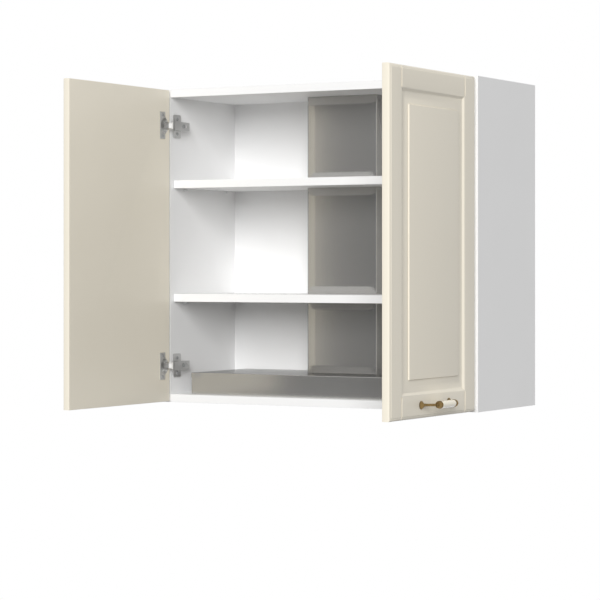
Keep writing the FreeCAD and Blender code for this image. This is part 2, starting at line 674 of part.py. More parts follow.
BLADES = 5
BLADE_PITCH = 30
BLADE_ROOT = 10
BLADE_CHORD = 22
BLADE_THICK = 1.6
HUB_LOW = "fan_low + 4"
HUB_RADIUS = "16"
HUB_TALL = "20"
SHAFT_LONG = "42"
hub = rod("hub", "z", HUB_RADIUS, ("duct_middle", OUTLET_LINE, HUB_LOW), HUB_TALL)
fan_shaft = rod("fan_shaft", "z", SHAFT, ("duct_middle", OUTLET_LINE, f"{HUB_LOW} + {HUB_TALL} / 2"),
                SHAFT_LONG)
blades = []
for index in range(BLADES):
    blade = doc.addObject("Part::Box", f"blade_{index}")
    blade.Length = number("fan_radius") - BLADE_ROOT
    blade.Width = BLADE_CHORD
    blade.Height = BLADE_THICK
    turn = FreeCAD.Rotation(AXES["z"], 360 * (index + 0.25) / BLADES)
    tilt = FreeCAD.Rotation(AXES["x"], BLADE_PITCH)
    middle = FreeCAD.Vector(BLADE_ROOT, -BLADE_CHORD / 2, -BLADE_THICK / 2)
    blade.Placement.Rotation = turn.multiply(tilt)
    offset = blade.Placement.Rotation.multVec(middle)
    place(blade, f"duct_middle + {offset.x}", f"{OUTLET_LINE} + {offset.y}", f"{HUB_LOW} + 11 + {offset.z}")
    blades.append(blade)
tip_circle = rod("tip_circle", "z", "fan_radius - 2", ("duct_middle", OUTLET_LINE, "fan_low"), "fan_rim")
trimmed = doc.addObject("Part::Common", "trimmed")
trimmed.Base = fuse("blades", *blades)
trimmed.Tool = tip_circle
node("fan_impeller", fuse("impeller", hub, fan_shaft, trimmed))

# Door: a slab with a stepped rim, a recessed and raised panel, joint grooves and bored cups
DOOR_X = hinge_x("open_face")
DOOR_Y = hinge_y("open_edge")
door = new_body("door", DOOR_X, DOOR_Y, "door_low")


def door_rectangle(name, inset_x, inset_low, inset_high, depth):
    """A rectangle inside the door's edges, at a depth below its face."""
    drawing = new_sketch(door, name, "YZ_Plane", f"{depth} - door_thick")
    draw_rectangle(drawing, f"{inset_x} - door_width", f"-({inset_x})", inset_low,
                   f"door_height - ({inset_high})")
    return drawing


def panel_rectangle(name, inset, depth):
    """A rectangle inside the frame of stiles and rails, at a depth below the face."""
    return door_rectangle(name, f"stile + {inset}", f"rail_bottom + {inset}", f"rail_top + {inset}", depth)


slab = pad(door, door_rectangle("slab", "0", "0", "0", "door_thick"), "door_thick - rim_step", reverse=True)
doc.recompute()
rim = door.newObject("PartDesign::Fillet", "rim")
rim_x = number("rim_step - door_thick")
rim_edges = [f"Edge{i}" for i, edge in enumerate(slab.Shape.Edges, start=1)
             if edge.BoundBox.XMax < rim_x + 0.01]
rim.Base = (slab, rim_edges)
rim.setExpression("Radius", formula("rim_round"))
FACE_INSET = "rim_land + rim_rise"
face = door.newObject("PartDesign::AdditiveLoft", "face")
face.Profile = door_rectangle("face_foot", "rim_land", "rim_land", "rim_land", "rim_step")
face.Sections = [door_rectangle("face_top", FACE_INSET, FACE_INSET, FACE_INSET, "0")]
face.Ruled = True
recess = door.newObject("PartDesign::SubtractiveLoft", "recess")
recess.Profile = panel_rectangle("recess_rim", "0", "0")
recess.Sections = [panel_rectangle("recess_floor", "slope_wide", "slope_deep")]
recess.Ruled = True
bevel = door.newObject("PartDesign::AdditiveLoft", "bevel")
bevel.Profile = panel_rectangle("bevel_foot", "slope_wide + cove_wide", "slope_deep")
FIELD_FOOT = ("slope_wide + cove_wide + bevel_wide", "slope_deep - bevel_rise")
bevel.Sections = [panel_rectangle("bevel_top", *FIELD_FOOT)]
bevel.Ruled = True
field = door.newObject("PartDesign::AdditiveLoft", "field")
field.Profile = panel_rectangle("field_foot", *FIELD_FOOT)
field.Sections = [panel_rectangle("field_top", f"{FIELD_FOOT[0]} + field_step", "0")]
field.Ruled = True
GROOVE_ABOVE = "joint_half * (joint_groove + 1) / joint_groove"
for groove_name, start, end in (("groove_low", "-1", "rail_bottom"),
                                ("groove_high", "door_height - rail_top", "door_height + 1")):
    grooves = new_sketch(door, groove_name, "XY_Plane", start)
    for line in ("-stile", "stile - door_width"):
        draw_outline(grooves, [("-door_thick - 1", f"{line} - {GROOVE_ABOVE}"),
                               ("joint_groove - door_thick", line),
                               ("-door_thick - 1", f"{line} + {GROOVE_ABOVE}")])
    pocket(door, grooves, f"{end} - ({start})", reverse=True)
cup_holes = new_sketch(door, "cup_holes", "YZ_Plane")
for height in ("hinge_low", HIGH_HINGE):
    draw_circle(cup_holes, "-cup_middle", f"{height} - door_low", "cup_radius")
pocket(door, cup_holes, "cup_deep")
handle_holes = new_sketch(door, "handle_holes", "YZ_Plane", "-door_thick")
for side in ("-", "+"):
    draw_circle(handle_holes, f"-handle_along {side} handle_half", "handle_height - door_low", "screw_radius")
pocket(door, handle_holes, "stud_in_door", reverse=True)
cup_screw_holes = new_sketch(door, "cup_screw_holes", "YZ_Plane")
CUP_SCREW_DEEP = 11
CUP_SCREW_ALONG = "cup_middle + 9.5"
CUP_SCREW_SPREAD = "24"
for height in ("hinge_low", HIGH_HINGE):
    for side in ("-", "+"):
        draw_circle(cup_screw_holes, f"-({CUP_SCREW_ALONG})",
                    f"{height} - door_low {side} {CUP_SCREW_SPREAD}", "screw_radius - 0.2")
pocket(door, cup_screw_holes, f"{CUP_SCREW_DEEP}")
node("door_left", door)
node("door_right", mirror("door_right", door, "x"))

# Handle: two rosettes with legs that lean in to domed heads, and a rod through a porcelain grip
FACE_X = f"{DOOR_X} - door_thick"
ROD_X = f"{FACE_X} - handle_reach"
HANDLE_MIDDLE = f"{DOOR_Y} - handle_along"
FOOT_Y = f"{HANDLE_MIDDLE} - handle_half"
HEAD_Y = f"{HANDLE_MIDDLE} - head_half"
HEAD_END = "head_half - grip_half"
LEG_SHIFT = "(handle_half - head_half)"
LEG_FROM = 0.2
rosette = turned("rosette", [("0", "0"), ("8.5", "0"), ("8.5", "1.5"), ("7.2", "3"), ("5", "4.5"),
                             ("3.6", "7"), ("0", "8")],
                 FACE_X, FOOT_Y, "handle_height", "-x")
leg = doc.addObject("Part::Cylinder", "leg")
leg.setExpression("Radius", formula("leg_radius"))
leg.Height = (1 - LEG_FROM) * math.hypot(number("handle_reach"), number(LEG_SHIFT))
lean = math.degrees(math.atan2(number(LEG_SHIFT), number("handle_reach")))
leg.Placement.Rotation = FreeCAD.Rotation(AXES["z"], -lean).multiply(FreeCAD.Rotation(AXES["y"], -90))
place(leg, f"{FACE_X} - {LEG_FROM} * handle_reach", f"{FOOT_Y} + {LEG_FROM} * {LEG_SHIFT}", "handle_height")
head = turned("head", [("0", "-7.5"), ("1.8", "-7"), ("2.6", "-5.8"), ("2.6", "-4.8"), ("4.5", "-4.5"),
                       ("6.6", "-2.5"), ("7.6", "0"), ("7.6", "2"), ("7", "3"), ("7", "4"), ("8.1", "4.6"),
                       ("8.1", HEAD_END), ("0", HEAD_END)],
              ROD_X, HEAD_Y, "handle_height", "y")
ROD_IN_HEAD = "2.5"
rod_room = rod("rod_room", "y", "rod_radius", (ROD_X, f"{HEAD_Y} - {ROD_IN_HEAD}", "handle_height"),
               f"{ROD_IN_HEAD} + {HEAD_END}")
stud = rod("stud", "x", "screw_radius", (f"{FACE_X} - stud_in_post", FOOT_Y, "handle_height"),
           "stud_in_post + stud_in_door")
post = cut("post", fuse("post_solid", rosette, leg, head), rod_room, stud)
posts = pair("posts", post, "y", HANDLE_MIDDLE)
node("handle_posts_left", posts)
node("handle_posts_right", mirror("posts_right", posts, "x"))

handle_rod = rod("handle_rod", "y", "rod_radius", (ROD_X, f"{HEAD_Y} - {ROD_IN_HEAD}", "handle_height"),
                 f"2 * (head_half + {ROD_IN_HEAD})")
node("handle_rod_left", handle_rod)
node("handle_rod_right", mirror("handle_rod_right", handle_rod, "x"))

grip = turned("grip", [("rod_radius", "-grip_half"), ("grip_radius - 0.6", "-grip_half"),
                       ("grip_radius - 0.2", "1.5 - grip_half"), ("grip_radius", "-grip_half / 3"),
                       ("grip_radius", "grip_half / 3"), ("grip_radius - 0.2", "grip_half - 1.5"),
                       ("grip_radius - 0.6", "grip_half"), ("rod_radius", "grip_half")],
              ROD_X, HANDLE_MIDDLE, "handle_height", "y")
node("handle_grip_left", grip)
node("handle_grip_right", mirror("grip_right", grip, "x"))

studs = pair("studs", stud, "y", HANDLE_MIDDLE)
node("handle_screws_left", studs)
node("handle_screws_right", mirror("studs_right", studs, "x"))


# Hinge: a mounting plate, a channel arm, two links between the arm and the cup
def inner_arm():
    return hinge_x("inner_arm_u"), hinge_y("inner_arm_v")


def outer_arm():
    return hinge_x("outer_arm_u"), hinge_y("outer_arm_v")


def in_cup(along, deep):
    """A point of the open door, along it from the hinge edge and down from its inner face."""
    return f"{DOOR_X} - {deep}", f"{DOOR_Y} - {along}"


def upright(name, radius, point, low, high):
    """A pin, barrel or bore that stands on a pivot of the lower hinge."""
    return rod(name, "z", radius, (*point, f"hinge_low + {low}"), f"({high}) - ({low})")


def bar(name, start, end, half, low, high):
    """A flat bar between two points of the hinge's plane."""
    piece = doc.addObject("Part::Box", name)
    across_x = number(end[0]) - number(start[0])
    across_y = number(end[1]) - number(start[1])
    turn = FreeCAD.Rotation(AXES["z"], math.degrees(math.atan2(across_y, across_x)))
    edge = turn.multVec(FreeCAD.Vector(0, -number(half), 0))
    piece.Length = math.hypot(across_x, across_y)
    piece.setExpression("Width", formula(f"2 * ({half})"))
    piece.setExpression("Height", formula(f"({high}) - ({low})"))
    piece.Placement.Rotation = turn
    return place(piece, f"{start[0]} + {edge.x}", f"{start[1]} + {edge.y}", f"hinge_low + {low}")


def four(name, piece):
    """A piece of the lower left hinge repeated on all four hinges."""
    return pair(name, pair(name + "_left", piece, "z", MID_HEIGHT), "x")


ARM_FACE = "16.5"
BLOCK_HALF = "6"
BLOCK_BACK = "37"
ARM_SCREW = hinge_y("-30")
WING_HALF = "27"
wings = box("wings", (hinge_x("0"), hinge_x(WING_THICK)),
            (hinge_y(f"-{WING_FRONT}"), hinge_y(f"-{WING_BACK}")),
            (f"hinge_low - {WING_HALF}", f"hinge_low + {WING_HALF}"))
wings_round = rounded("wings_round", wings, "4", lambda edge: 0.1 < edge.XLength)
block = box("block", (hinge_x("0"), hinge_x(f"{ARM_FACE} - steel - 0.1")),
            (hinge_y(f"-{WING_FRONT}"), hinge_y(f"-{BLOCK_BACK}")),
            (f"hinge_low - {BLOCK_HALF}", f"hinge_low + {BLOCK_HALF}"))
arm_screw = turned("arm_screw", [("0", "-11"), ("2.5", "-11"), ("2.5", "0"), ("4.6", "0"), ("4.2", "2"),
                                 ("0", "2")],
                   hinge_x(ARM_FACE), ARM_SCREW, "hinge_low", "x")
mounting = cut("mounting", fuse("mounting_solid", wings_round, block), wing_screws, arm_screw)
node("hinge_plates", four("mountings", mounting))
node("arm_screws", four("arm_screws", arm_screw))

arm = new_body("arm", "0", "0", "hinge_low")
arm_side = new_sketch(arm, "arm_side", "XY_Plane")
draw_outline(arm_side, [(hinge_x(u), hinge_y(v)) for u, v in (
    ("9", "-arm_back"), (ARM_FACE, "-arm_back"), (ARM_FACE, "7"), ("14.6", "12.9"), ("9.8", "12.9"),
    ("9.4", "9"), ("10.2", "1"), ("7", "-4"), ("7", "-42"))])
pad(arm, arm_side, "2 * (cheek_high + 0.4)", "Symmetric")
arm_inside = new_sketch(arm, "arm_inside", "XY_Plane")
draw_rectangle(arm_inside, hinge_x("0"), hinge_x(f"{ARM_FACE} - steel"), hinge_y("board"),
               hinge_y("-arm_back - 5"))
pocket(arm, arm_inside, "2 * cheek_low", "Symmetric")
for neck_name, offset, away in (("neck_high", "cheek_high", False), ("neck_low", "-cheek_high", True)):
    neck = new_sketch(arm, neck_name, "XY_Plane", offset)
    draw_rectangle(neck, hinge_x("0"), hinge_x(f"2 * {ARM_FACE}"), hinge_y("board"), hinge_y("-6"))
    pocket(arm, neck, "5", reverse=not away)
arm_pins = [upright("inner_arm_pin", "pivot_radius", inner_arm(), "-cheek_high", "cheek_high"),
            upright("outer_arm_pin", "pivot_radius", outer_arm(), "-cheek_high", "cheek_high")]
arm_end_hole = rod("arm_end_hole", "x", "3.4", (hinge_x("0"), hinge_y("-43"), "hinge_low"), "30")
arm_bored = cut("arm_bored", arm, *arm_pins, arm_screw, arm_end_hole)
node("hinge_arms", four("arms", arm_bored))
node("arm_pins", four("arm_pins", group("arm_pin_pair", *arm_pins)))

inner_cup = in_cup("inner_cup_along", "inner_cup_deep")
outer_cup = in_cup("outer_cup_along", "outer_cup_deep")
INNER_SPAN = ("-inner_link_half", "inner_link_half")
inner_solid = fuse("inner_solid", bar("inner_bar", inner_arm(), inner_cup, "link_half", *INNER_SPAN),
                   upright("inner_barrel_arm", "barrel", inner_arm(), "-cheek_low + 0.3", "cheek_low - 0.3"),
                   upright("inner_barrel_cup", "barrel", inner_cup, *INNER_SPAN))
inner_link = cut("inner_link", inner_solid, *[
    upright(f"inner_bore_{index}", "pivot_radius + running", point, "-20", "20")
    for index, point in enumerate((inner_arm(), inner_cup))])
inner_links = pair("inner_links", inner_link, "z", MID_HEIGHT)
node("inner_links_left", inner_links)
node("inner_links_right", mirror("inner_links_right", inner_links, "x"))

run_x = number(outer_cup[0]) - number(outer_arm()[0])
run_y = number(outer_cup[1]) - number(outer_arm()[1])
run = math.hypot(run_x, run_y)
bow_x = -run_y / run * number("strap_bow")
bow_y = run_x / run * number("strap_bow")
strap_middle = (f"({outer_arm()[0]} + {outer_cup[0]}) / 2 + {bow_x}",
                f"({outer_arm()[1]} + {outer_cup[1]}) / 2 + {bow_y}")
STRAP_SPAN = ("strap_low", "strap_high")
strap_solid = fuse("strap_solid", bar("strap_rear", outer_arm(), strap_middle, "link_half", *STRAP_SPAN),
                   bar("strap_front", strap_middle, outer_cup, "link_half", *STRAP_SPAN),
                   upright("strap_bend", "link_half", strap_middle, *STRAP_SPAN),
                   upright("strap_eye", "barrel", outer_cup, *STRAP_SPAN))
strap_other = mirror("strap_other", strap_solid, "z", "hinge_low - hang_height")
outer_solid = fuse("outer_solid", strap_solid, strap_other,
                   upright("outer_barrel", "barrel", outer_arm(), "-strap_high", "strap_high"))
outer_link = cut("outer_link", outer_solid, *[
    upright(f"outer_bore_{index}", "pivot_radius + running", point, "-20", "20")
    for index, point in enumerate((outer_arm(), outer_cup))])
outer_links = pair("outer_links", outer_link, "z", MID_HEIGHT)
node("outer_links_left", outer_links)
node("outer_links_right", mirror("outer_links_right", outer_links, "x"))

CUP_FLOOR = "cup_deep - cup_wall"
cup_line = f"{DOOR_Y} - cup_middle"
cup_round = rod("cup_round", "x", "cup_radius", (f"{DOOR_X} - cup_deep", cup_line, "hinge_low"),
                "cup_deep")
flange_body = new_body("flange_body", DOOR_X, DOOR_Y, "hinge_low")
flange_outline = new_sketch(flange_body, "flange_outline", "YZ_Plane")
draw_outline(flange_outline, [("-41", "-31"), ("-19.5", "-31"), ("-19.5", "-20"), ("-8", "-10"),
                              ("-8", "10"), ("-19.5", "20"), ("-19.5", "31"), ("-41", "31")])
pad(flange_body, flange_outline, "steel")
cup_room = rod("cup_room", "x", "cup_radius - cup_wall",
               (f"{DOOR_X} - ({CUP_FLOOR})", cup_line, "hinge_low"), "2 * cup_deep")
MOUTH_DEEP = "3.5"
MOUTH_HALF = "strap_high + 0.5"
mouth = box("mouth", (f"{DOOR_X} - {MOUTH_DEEP}", f"{DOOR_X} + steel"), (cup_line, DOOR_Y),
            (f"hinge_low - ({MOUTH_HALF})", f"hinge_low + {MOUTH_HALF}"))
shell = cut("cup_shell", fuse("cup_blank", cup_round, flange_body), cup_room, mouth)
lug_box = box("lug_box", (f"{DOOR_X} - ({CUP_FLOOR})", inner_cup[0]),
              (f"{inner_cup[1]} - barrel", f"{inner_cup[1]} + barrel"),
              ("hinge_low + lug_low", "hinge_low + lug_high"))
lug = fuse("lug", lug_box, upright("lug_eye", "barrel", inner_cup, "lug_low", "lug_high"))
stub = doc.addObject("Part::Common", "stub")
stub.Base = upright("stub_pin", "pivot_radius", outer_cup, "cheek_low", "cup_radius")
stub.Tool = cup_round
cup_pin = upright("cup_pin", "pivot_radius", inner_cup, "-lug_high", "lug_high")
cup_screw = turned("cup_screw", [("0", f"-{CUP_SCREW_DEEP}"), ("screw_radius - 0.2", f"-{CUP_SCREW_DEEP}"),
                                 ("screw_radius - 0.2", "steel"), ("3.6", "steel"), ("3", "steel + 1.4"),
                                 ("0", "steel + 1.4")],
                   DOOR_X, f"{DOOR_Y} - ({CUP_SCREW_ALONG})", f"hinge_low + {CUP_SCREW_SPREAD}", "x")
cup_screw_pair = pair("cup_screw_pair", cup_screw, "z", "hinge_low - hang_height")
cup_solid = fuse("cup_solid", shell, lug, mirror("lug_other", lug, "z", "hinge_low - hang_height"),
                 stub, mirror("stub_other", stub, "z", "hinge_low - hang_height"), cup_pin)
cups = pair("cups", cut("cup", cup_solid, cup_screw_pair), "z", MID_HEIGHT)
node("hinge_cups_left", cups)
node("hinge_cups_right", mirror("cups_right", cups, "x"))
cup_screws = pair("cup_screws", cup_screw_pair, "z", MID_HEIGHT)
node("cup_screws_left", cup_screws)
node("cup_screws_right", mirror("cup_screws_right", cup_screws, "x"))

# Every object has to be sound before anything is written
doc.recompute()
for thing in doc.Objects:
    if "Invalid" in thing.State or "Error" in thing.State:
        raise RuntimeError(f"{thing.Name} is {thing.State}")
os.makedirs("parts", exist_ok=True)
for piece in nodes:
    if piece.Shape.isNull() or not piece.Shape.isValid() or not piece.Shape.Solids:
        raise RuntimeError(f"{piece.Label} has no sound shape")
for piece in nodes:
    piece.Shape.exportStep(f"parts/{piece.Label}.step")
    print(f"{piece.Label}: {len(piece.Shape.Solids)} solids, {piece.Shape.Volume / 1000:.2f} cm3")
print(len(nodes), "nodes")
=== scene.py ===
# %% [markdown]
# # A kitchen wall cabinet with open doors
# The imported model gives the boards, hood, hinges and fixings their shape and place. This lesson dresses
# them. It gives every surface the finish of its real material, and builds finer meshes for the pieces
# whose looks depend on soft profiles: the duct's front, the doors and the handles. Finishes come first,
# then meshes, and the surround, lamp and camera come last.

# %% Load the frame
import json
import math

import bmesh
import bpy
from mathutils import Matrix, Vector


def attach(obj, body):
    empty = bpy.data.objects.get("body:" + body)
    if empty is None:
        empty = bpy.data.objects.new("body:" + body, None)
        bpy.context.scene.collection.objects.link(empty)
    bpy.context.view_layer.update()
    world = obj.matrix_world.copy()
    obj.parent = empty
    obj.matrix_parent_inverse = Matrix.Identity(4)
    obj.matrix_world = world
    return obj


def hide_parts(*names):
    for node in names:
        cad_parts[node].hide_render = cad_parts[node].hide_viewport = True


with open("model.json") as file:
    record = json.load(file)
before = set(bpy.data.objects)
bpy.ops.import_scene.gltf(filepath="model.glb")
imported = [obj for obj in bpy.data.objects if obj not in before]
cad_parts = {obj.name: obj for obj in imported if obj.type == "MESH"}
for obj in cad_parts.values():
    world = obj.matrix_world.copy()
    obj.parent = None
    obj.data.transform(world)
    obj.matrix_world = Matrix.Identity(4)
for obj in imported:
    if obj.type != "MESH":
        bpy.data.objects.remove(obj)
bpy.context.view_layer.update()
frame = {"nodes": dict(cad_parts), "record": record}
nodes = frame["nodes"]

# %% [markdown]
# ## Colours and nodes
# A material here is always a Principled shader with a few pattern nodes in front of it. The nodes could
# be joined by hand in the shader editor. In a script, one small function that adds a node with its
# settings and links lets each material read as a short recipe. Colours are sRGB hex values, as on a paint
# chart, and one function turns them to the linear light that Blender reckons in. Patterns use object
# coordinates: every packed object sits at the origin, so one unit is one metre, and a feature of so many
# millimetres has a scale of 1000 divided by that size.

# %% Helpers for colours and nodes
MM = 0.001


def linear(hex_colour):
    """An sRGB hex colour as linear red, green, blue and alpha."""
    channels = [int(hex_colour[i:i + 2], 16) / 255 for i in (0, 2, 4)]
    return [c / 12.92 if c <= 0.04045 else ((c + 0.055) / 1.055) ** 2.4 for c in channels] + [1.0]


def per_mm(size):
    """The texture scale that gives features of this many millimetres."""
    return 1000.0 / size


def add_node(tree, kind, settings=None, links=None):
    """Add a node, set its properties or sockets, and link other sockets into it."""
    node = tree.nodes.new(kind)
    for name, value in (settings or {}).items():
        if isinstance(name, int) or name in node.inputs:
            node.inputs[name].default_value = value
        else:
            setattr(node, name, value)
    for name, source in (links or {}).items():
        tree.links.new(source, node.inputs[name])
    return node


def new_material(name, **sockets):
    """A material with a Principled shader whose even values are set on its own sockets."""
    material = bpy.data.materials.new(name)
    material.use_nodes = True
    shader = material.node_tree.nodes["Principled BSDF"]
    for socket, value in sockets.items():
        shader.inputs[socket.replace("_", " ")].default_value = value
    return material, material.node_tree, shader


print("a feature of 2 mm has a scale of", per_mm(2))

# %% [markdown]
# ## White coated board
# The carcass is chipboard with a white melamine coat, and the back is thin coated hardboard. The coat is
# pressed against a steel plate with a very fine pearl grain, so the eye gets an even white with a soft,
# slightly broken sheen. The grain is about 0.4 mm, too fine to show here, so it is drawn at 1.5 mm. Board
# edges carry a glued band with a small radius. The solid could be bevelled for that, but a Bevel node
# gives the rounding to the light and leaves the solid as it is.

# %% White melamine and hardboard
PEARL_GRAIN = 1.5
COAT_CLOUDS = 90


def coated_board(name, colour, sheen, edge_radius):
    """White coated board: pearl grain in the bump, a broken sheen and softened edges."""
    material, tree, shader = new_material(name, Base_Color=linear(colour), IOR=1.5)
    place = add_node(tree, "ShaderNodeTexCoord").outputs["Object"]
    grain = add_node(tree, "ShaderNodeTexNoise", {"Scale": per_mm(PEARL_GRAIN), "Detail": 2.0},
                     {"Vector": place})
    clouds = add_node(tree, "ShaderNodeTexNoise", {"Scale": per_mm(COAT_CLOUDS), "Detail": 3.0},
                      {"Vector": place})
    soft_edge = add_node(tree, "ShaderNodeBevel", {"samples": 4, "Radius": edge_radius * MM})
    bump = add_node(tree, "ShaderNodeBump", {"Strength": 0.12, "Distance": 0.05 * MM},
                    {"Height": grain.outputs["Fac"], "Normal": soft_edge.outputs["Normal"]})
    broken = add_node(tree, "ShaderNodeMapRange",
                      {"From Min": 0.3, "From Max": 0.7, "To Min": sheen - 0.04, "To Max": sheen + 0.05},
                      {"Value": clouds.outputs["Fac"]})
    tree.links.new(broken.outputs["Result"], shader.inputs["Roughness"])
    tree.links.new(bump.outputs["Normal"], shader.inputs["Normal"])
    return material


melamine = coated_board("white_melamine", "F7F7F7", 0.42, 0.8)
hardboard = coated_board("white_hardboard", "F7F7F7", 0.5, 0.3)
print("made", melamine.name, "and", hardboard.name)

# %% [markdown]
# ## Cream foil
# The doors are fibreboard, milled in one piece and wrapped in a satin cream foil under vacuum. The foil
# follows the milling, so the eye gets soft profiles and a faint orange peel about 2 mm wide. The recesses
# are painted a darker, warmer cream, which is painted shade. It could be painted on the vertices, but an
# ambient occlusion node finds the recesses by itself, whatever the mesh, and without looking at the camera.

# %% Satin cream foil
ORANGE_PEEL = 2.2
FOIL_CLOUDS = 130
PROFILE_DEPTH = 5


def cream_foil():
    """Vacuum-wrapped foil: satin, faint orange peel, and painted shade, a darker and warmer tone, deep in
    the profiles.
    """
    material, tree, shader = new_material("cream_foil", IOR=1.48)
    place = add_node(tree, "ShaderNodeTexCoord").outputs["Object"]
    peel = add_node(tree, "ShaderNodeTexNoise", {"Scale": per_mm(ORANGE_PEEL), "Detail": 1.0},
                    {"Vector": place})
    clouds = add_node(tree, "ShaderNodeTexNoise", {"Scale": per_mm(FOIL_CLOUDS), "Detail": 4.0},
                      {"Vector": place})
    openness = add_node(tree, "ShaderNodeAmbientOcclusion", {"samples": 6, "Distance": PROFILE_DEPTH * MM})
    tone = add_node(tree, "ShaderNodeMix",
                    {"data_type": "RGBA", 6: linear("F4EDDC"), 7: linear("F6EFDF")},
                    {0: clouds.outputs["Fac"]})
    painted_recess_shade = add_node(tree, "ShaderNodeMapRange",
                      {"From Min": 0.45, "From Max": 0.95, "To Min": 1.0, "To Max": 0.0},
                      {"Value": openness.outputs["AO"]})
    # Painted shade: the recesses that the occlusion node finds are mixed towards a darker, warmer cream.
    colour = add_node(tree, "ShaderNodeMix", {"data_type": "RGBA", 7: linear("E2D7C0")},
                      {0: painted_recess_shade.outputs["Result"], 6: tone.outputs[2]})
    bump = add_node(tree, "ShaderNodeBump", {"Strength": 0.1, "Distance": 0.06 * MM},
                    {"Height": peel.outputs["Fac"]})
    satin = add_node(tree, "ShaderNodeMapRange",
                     {"From Min": 0.3, "From Max": 0.7, "To Min": 0.34, "To Max": 0.42},
                     {"Value": clouds.outputs["Fac"]})
    tree.links.new(colour.outputs[2], shader.inputs["Base Color"])
    tree.links.new(satin.outputs["Result"], shader.inputs["Roughness"])
    tree.links.new(bump.outputs["Normal"], shader.inputs["Normal"])
    return material


foil = cream_foil()
print("made", foil.name)

# %% [markdown]
# ## Brushed stainless steel
# The hood and duct are stainless sheet, brushed upright on their fronts. Fine parallel scratches spread
# each reflection sideways, so the eye gets long soft bands and no sharp mirror image. Real scratches are
# about 0.1 mm wide and many centimetres long. They are drawn 0.8 mm wide so that they show, as noise that
# a Mapping node stretches: a picture of scratches would do too, but noise never repeats. The same noise
# varies tone and roughness, and a slow noise is the sheet's slight waviness. Metallic is a little under
# one, because a kitchen sheet has a film on it that scatters some light.

# %% Brushed stainless steel
SCRATCH_WIDE = 0.8
SCRATCH_LONG = 160
SHEET_WAVE = 220


def brushed_steel(name, dark, light, roughness):
    """Sheet with scratches along Y and Z, which stand upright on the fronts."""
    material, tree, shader = new_material(name, Metallic=0.82, Anisotropic=0.3,
                                          Specular_Tint=linear("A4A4A4"))
    place = add_node(tree, "ShaderNodeTexCoord").outputs["Object"]
    along = add_node(tree, "ShaderNodeMapping",
                     {"Scale": [per_mm(SCRATCH_WIDE), per_mm(SCRATCH_LONG), per_mm(SCRATCH_LONG)]},
                     {"Vector": place})
    lines = add_node(tree, "ShaderNodeTexNoise", {"Scale": 1.0, "Detail": 4.0, "Roughness": 0.7},
                     {"Vector": along.outputs["Vector"]})
    waves = add_node(tree, "ShaderNodeTexNoise", {"Scale": per_mm(SHEET_WAVE), "Detail": 1.0},
                     {"Vector": place})
    tone = add_node(tree, "ShaderNodeMix", {"data_type": "RGBA", 6: linear(dark), 7: linear(light)},
                    {0: lines.outputs["Fac"]})
    sideways = add_node(tree, "ShaderNodeTangent", {"direction_type": "RADIAL", "axis": "Z"})
    fold = add_node(tree, "ShaderNodeBevel", {"samples": 4, "Radius": 0.3 * MM})
    sheet_wave = add_node(tree, "ShaderNodeBump", {"Strength": 0.08, "Distance": 2.5 * MM},
                          {"Height": waves.outputs["Fac"], "Normal": fold.outputs["Normal"]})
    scratches = add_node(tree, "ShaderNodeBump", {"Strength": 0.04, "Distance": 0.05 * MM},
                         {"Height": lines.outputs["Fac"], "Normal": sheet_wave.outputs["Normal"]})
    streaks = add_node(tree, "ShaderNodeMapRange",
                       {"From Min": 0.3, "From Max": 0.7,
                        "To Min": roughness - 0.015, "To Max": roughness + 0.015},
                       {"Value": lines.outputs["Fac"]})
    tree.links.new(tone.outputs[2], shader.inputs["Base Color"])
    tree.links.new(streaks.outputs["Result"], shader.inputs["Roughness"])
    tree.links.new(sideways.outputs["Tangent"], shader.inputs["Tangent"])
    tree.links.new(scratches.outputs["Normal"], shader.inputs["Normal"])
    return material


stainless = brushed_steel("brushed_stainless", "C3C2C0", "C9C8C6", 0.19)
print("made", stainless.name)

# %% [markdown]
# ## Plated steel and aluminium
# Hinges are pressed steel with a nickel plate, bright and slightly warm. Screws and hangers are zinc
# plated, a little bluer and duller, and the filters are rolled aluminium. All of them give the eye a
# clean grey with faint clouds about 6 mm wide, so one recipe serves, with its own greys and roughness
# each time. The hinge cups and shelf pegs have a thinner, paler plate and look less like mirrors, so
# their metallic value is lower. An ambient occlusion node finds the hollows and paints them a grey of
# their own: lighter in the cups and on the pegs, which is painted light that lifts their shade, and a
# little darker on the other plates, which is painted shade.

# %% Nickel, zinc and aluminium
PLATE_CLOUDS = 6
HOLLOW_DEPTH = 9


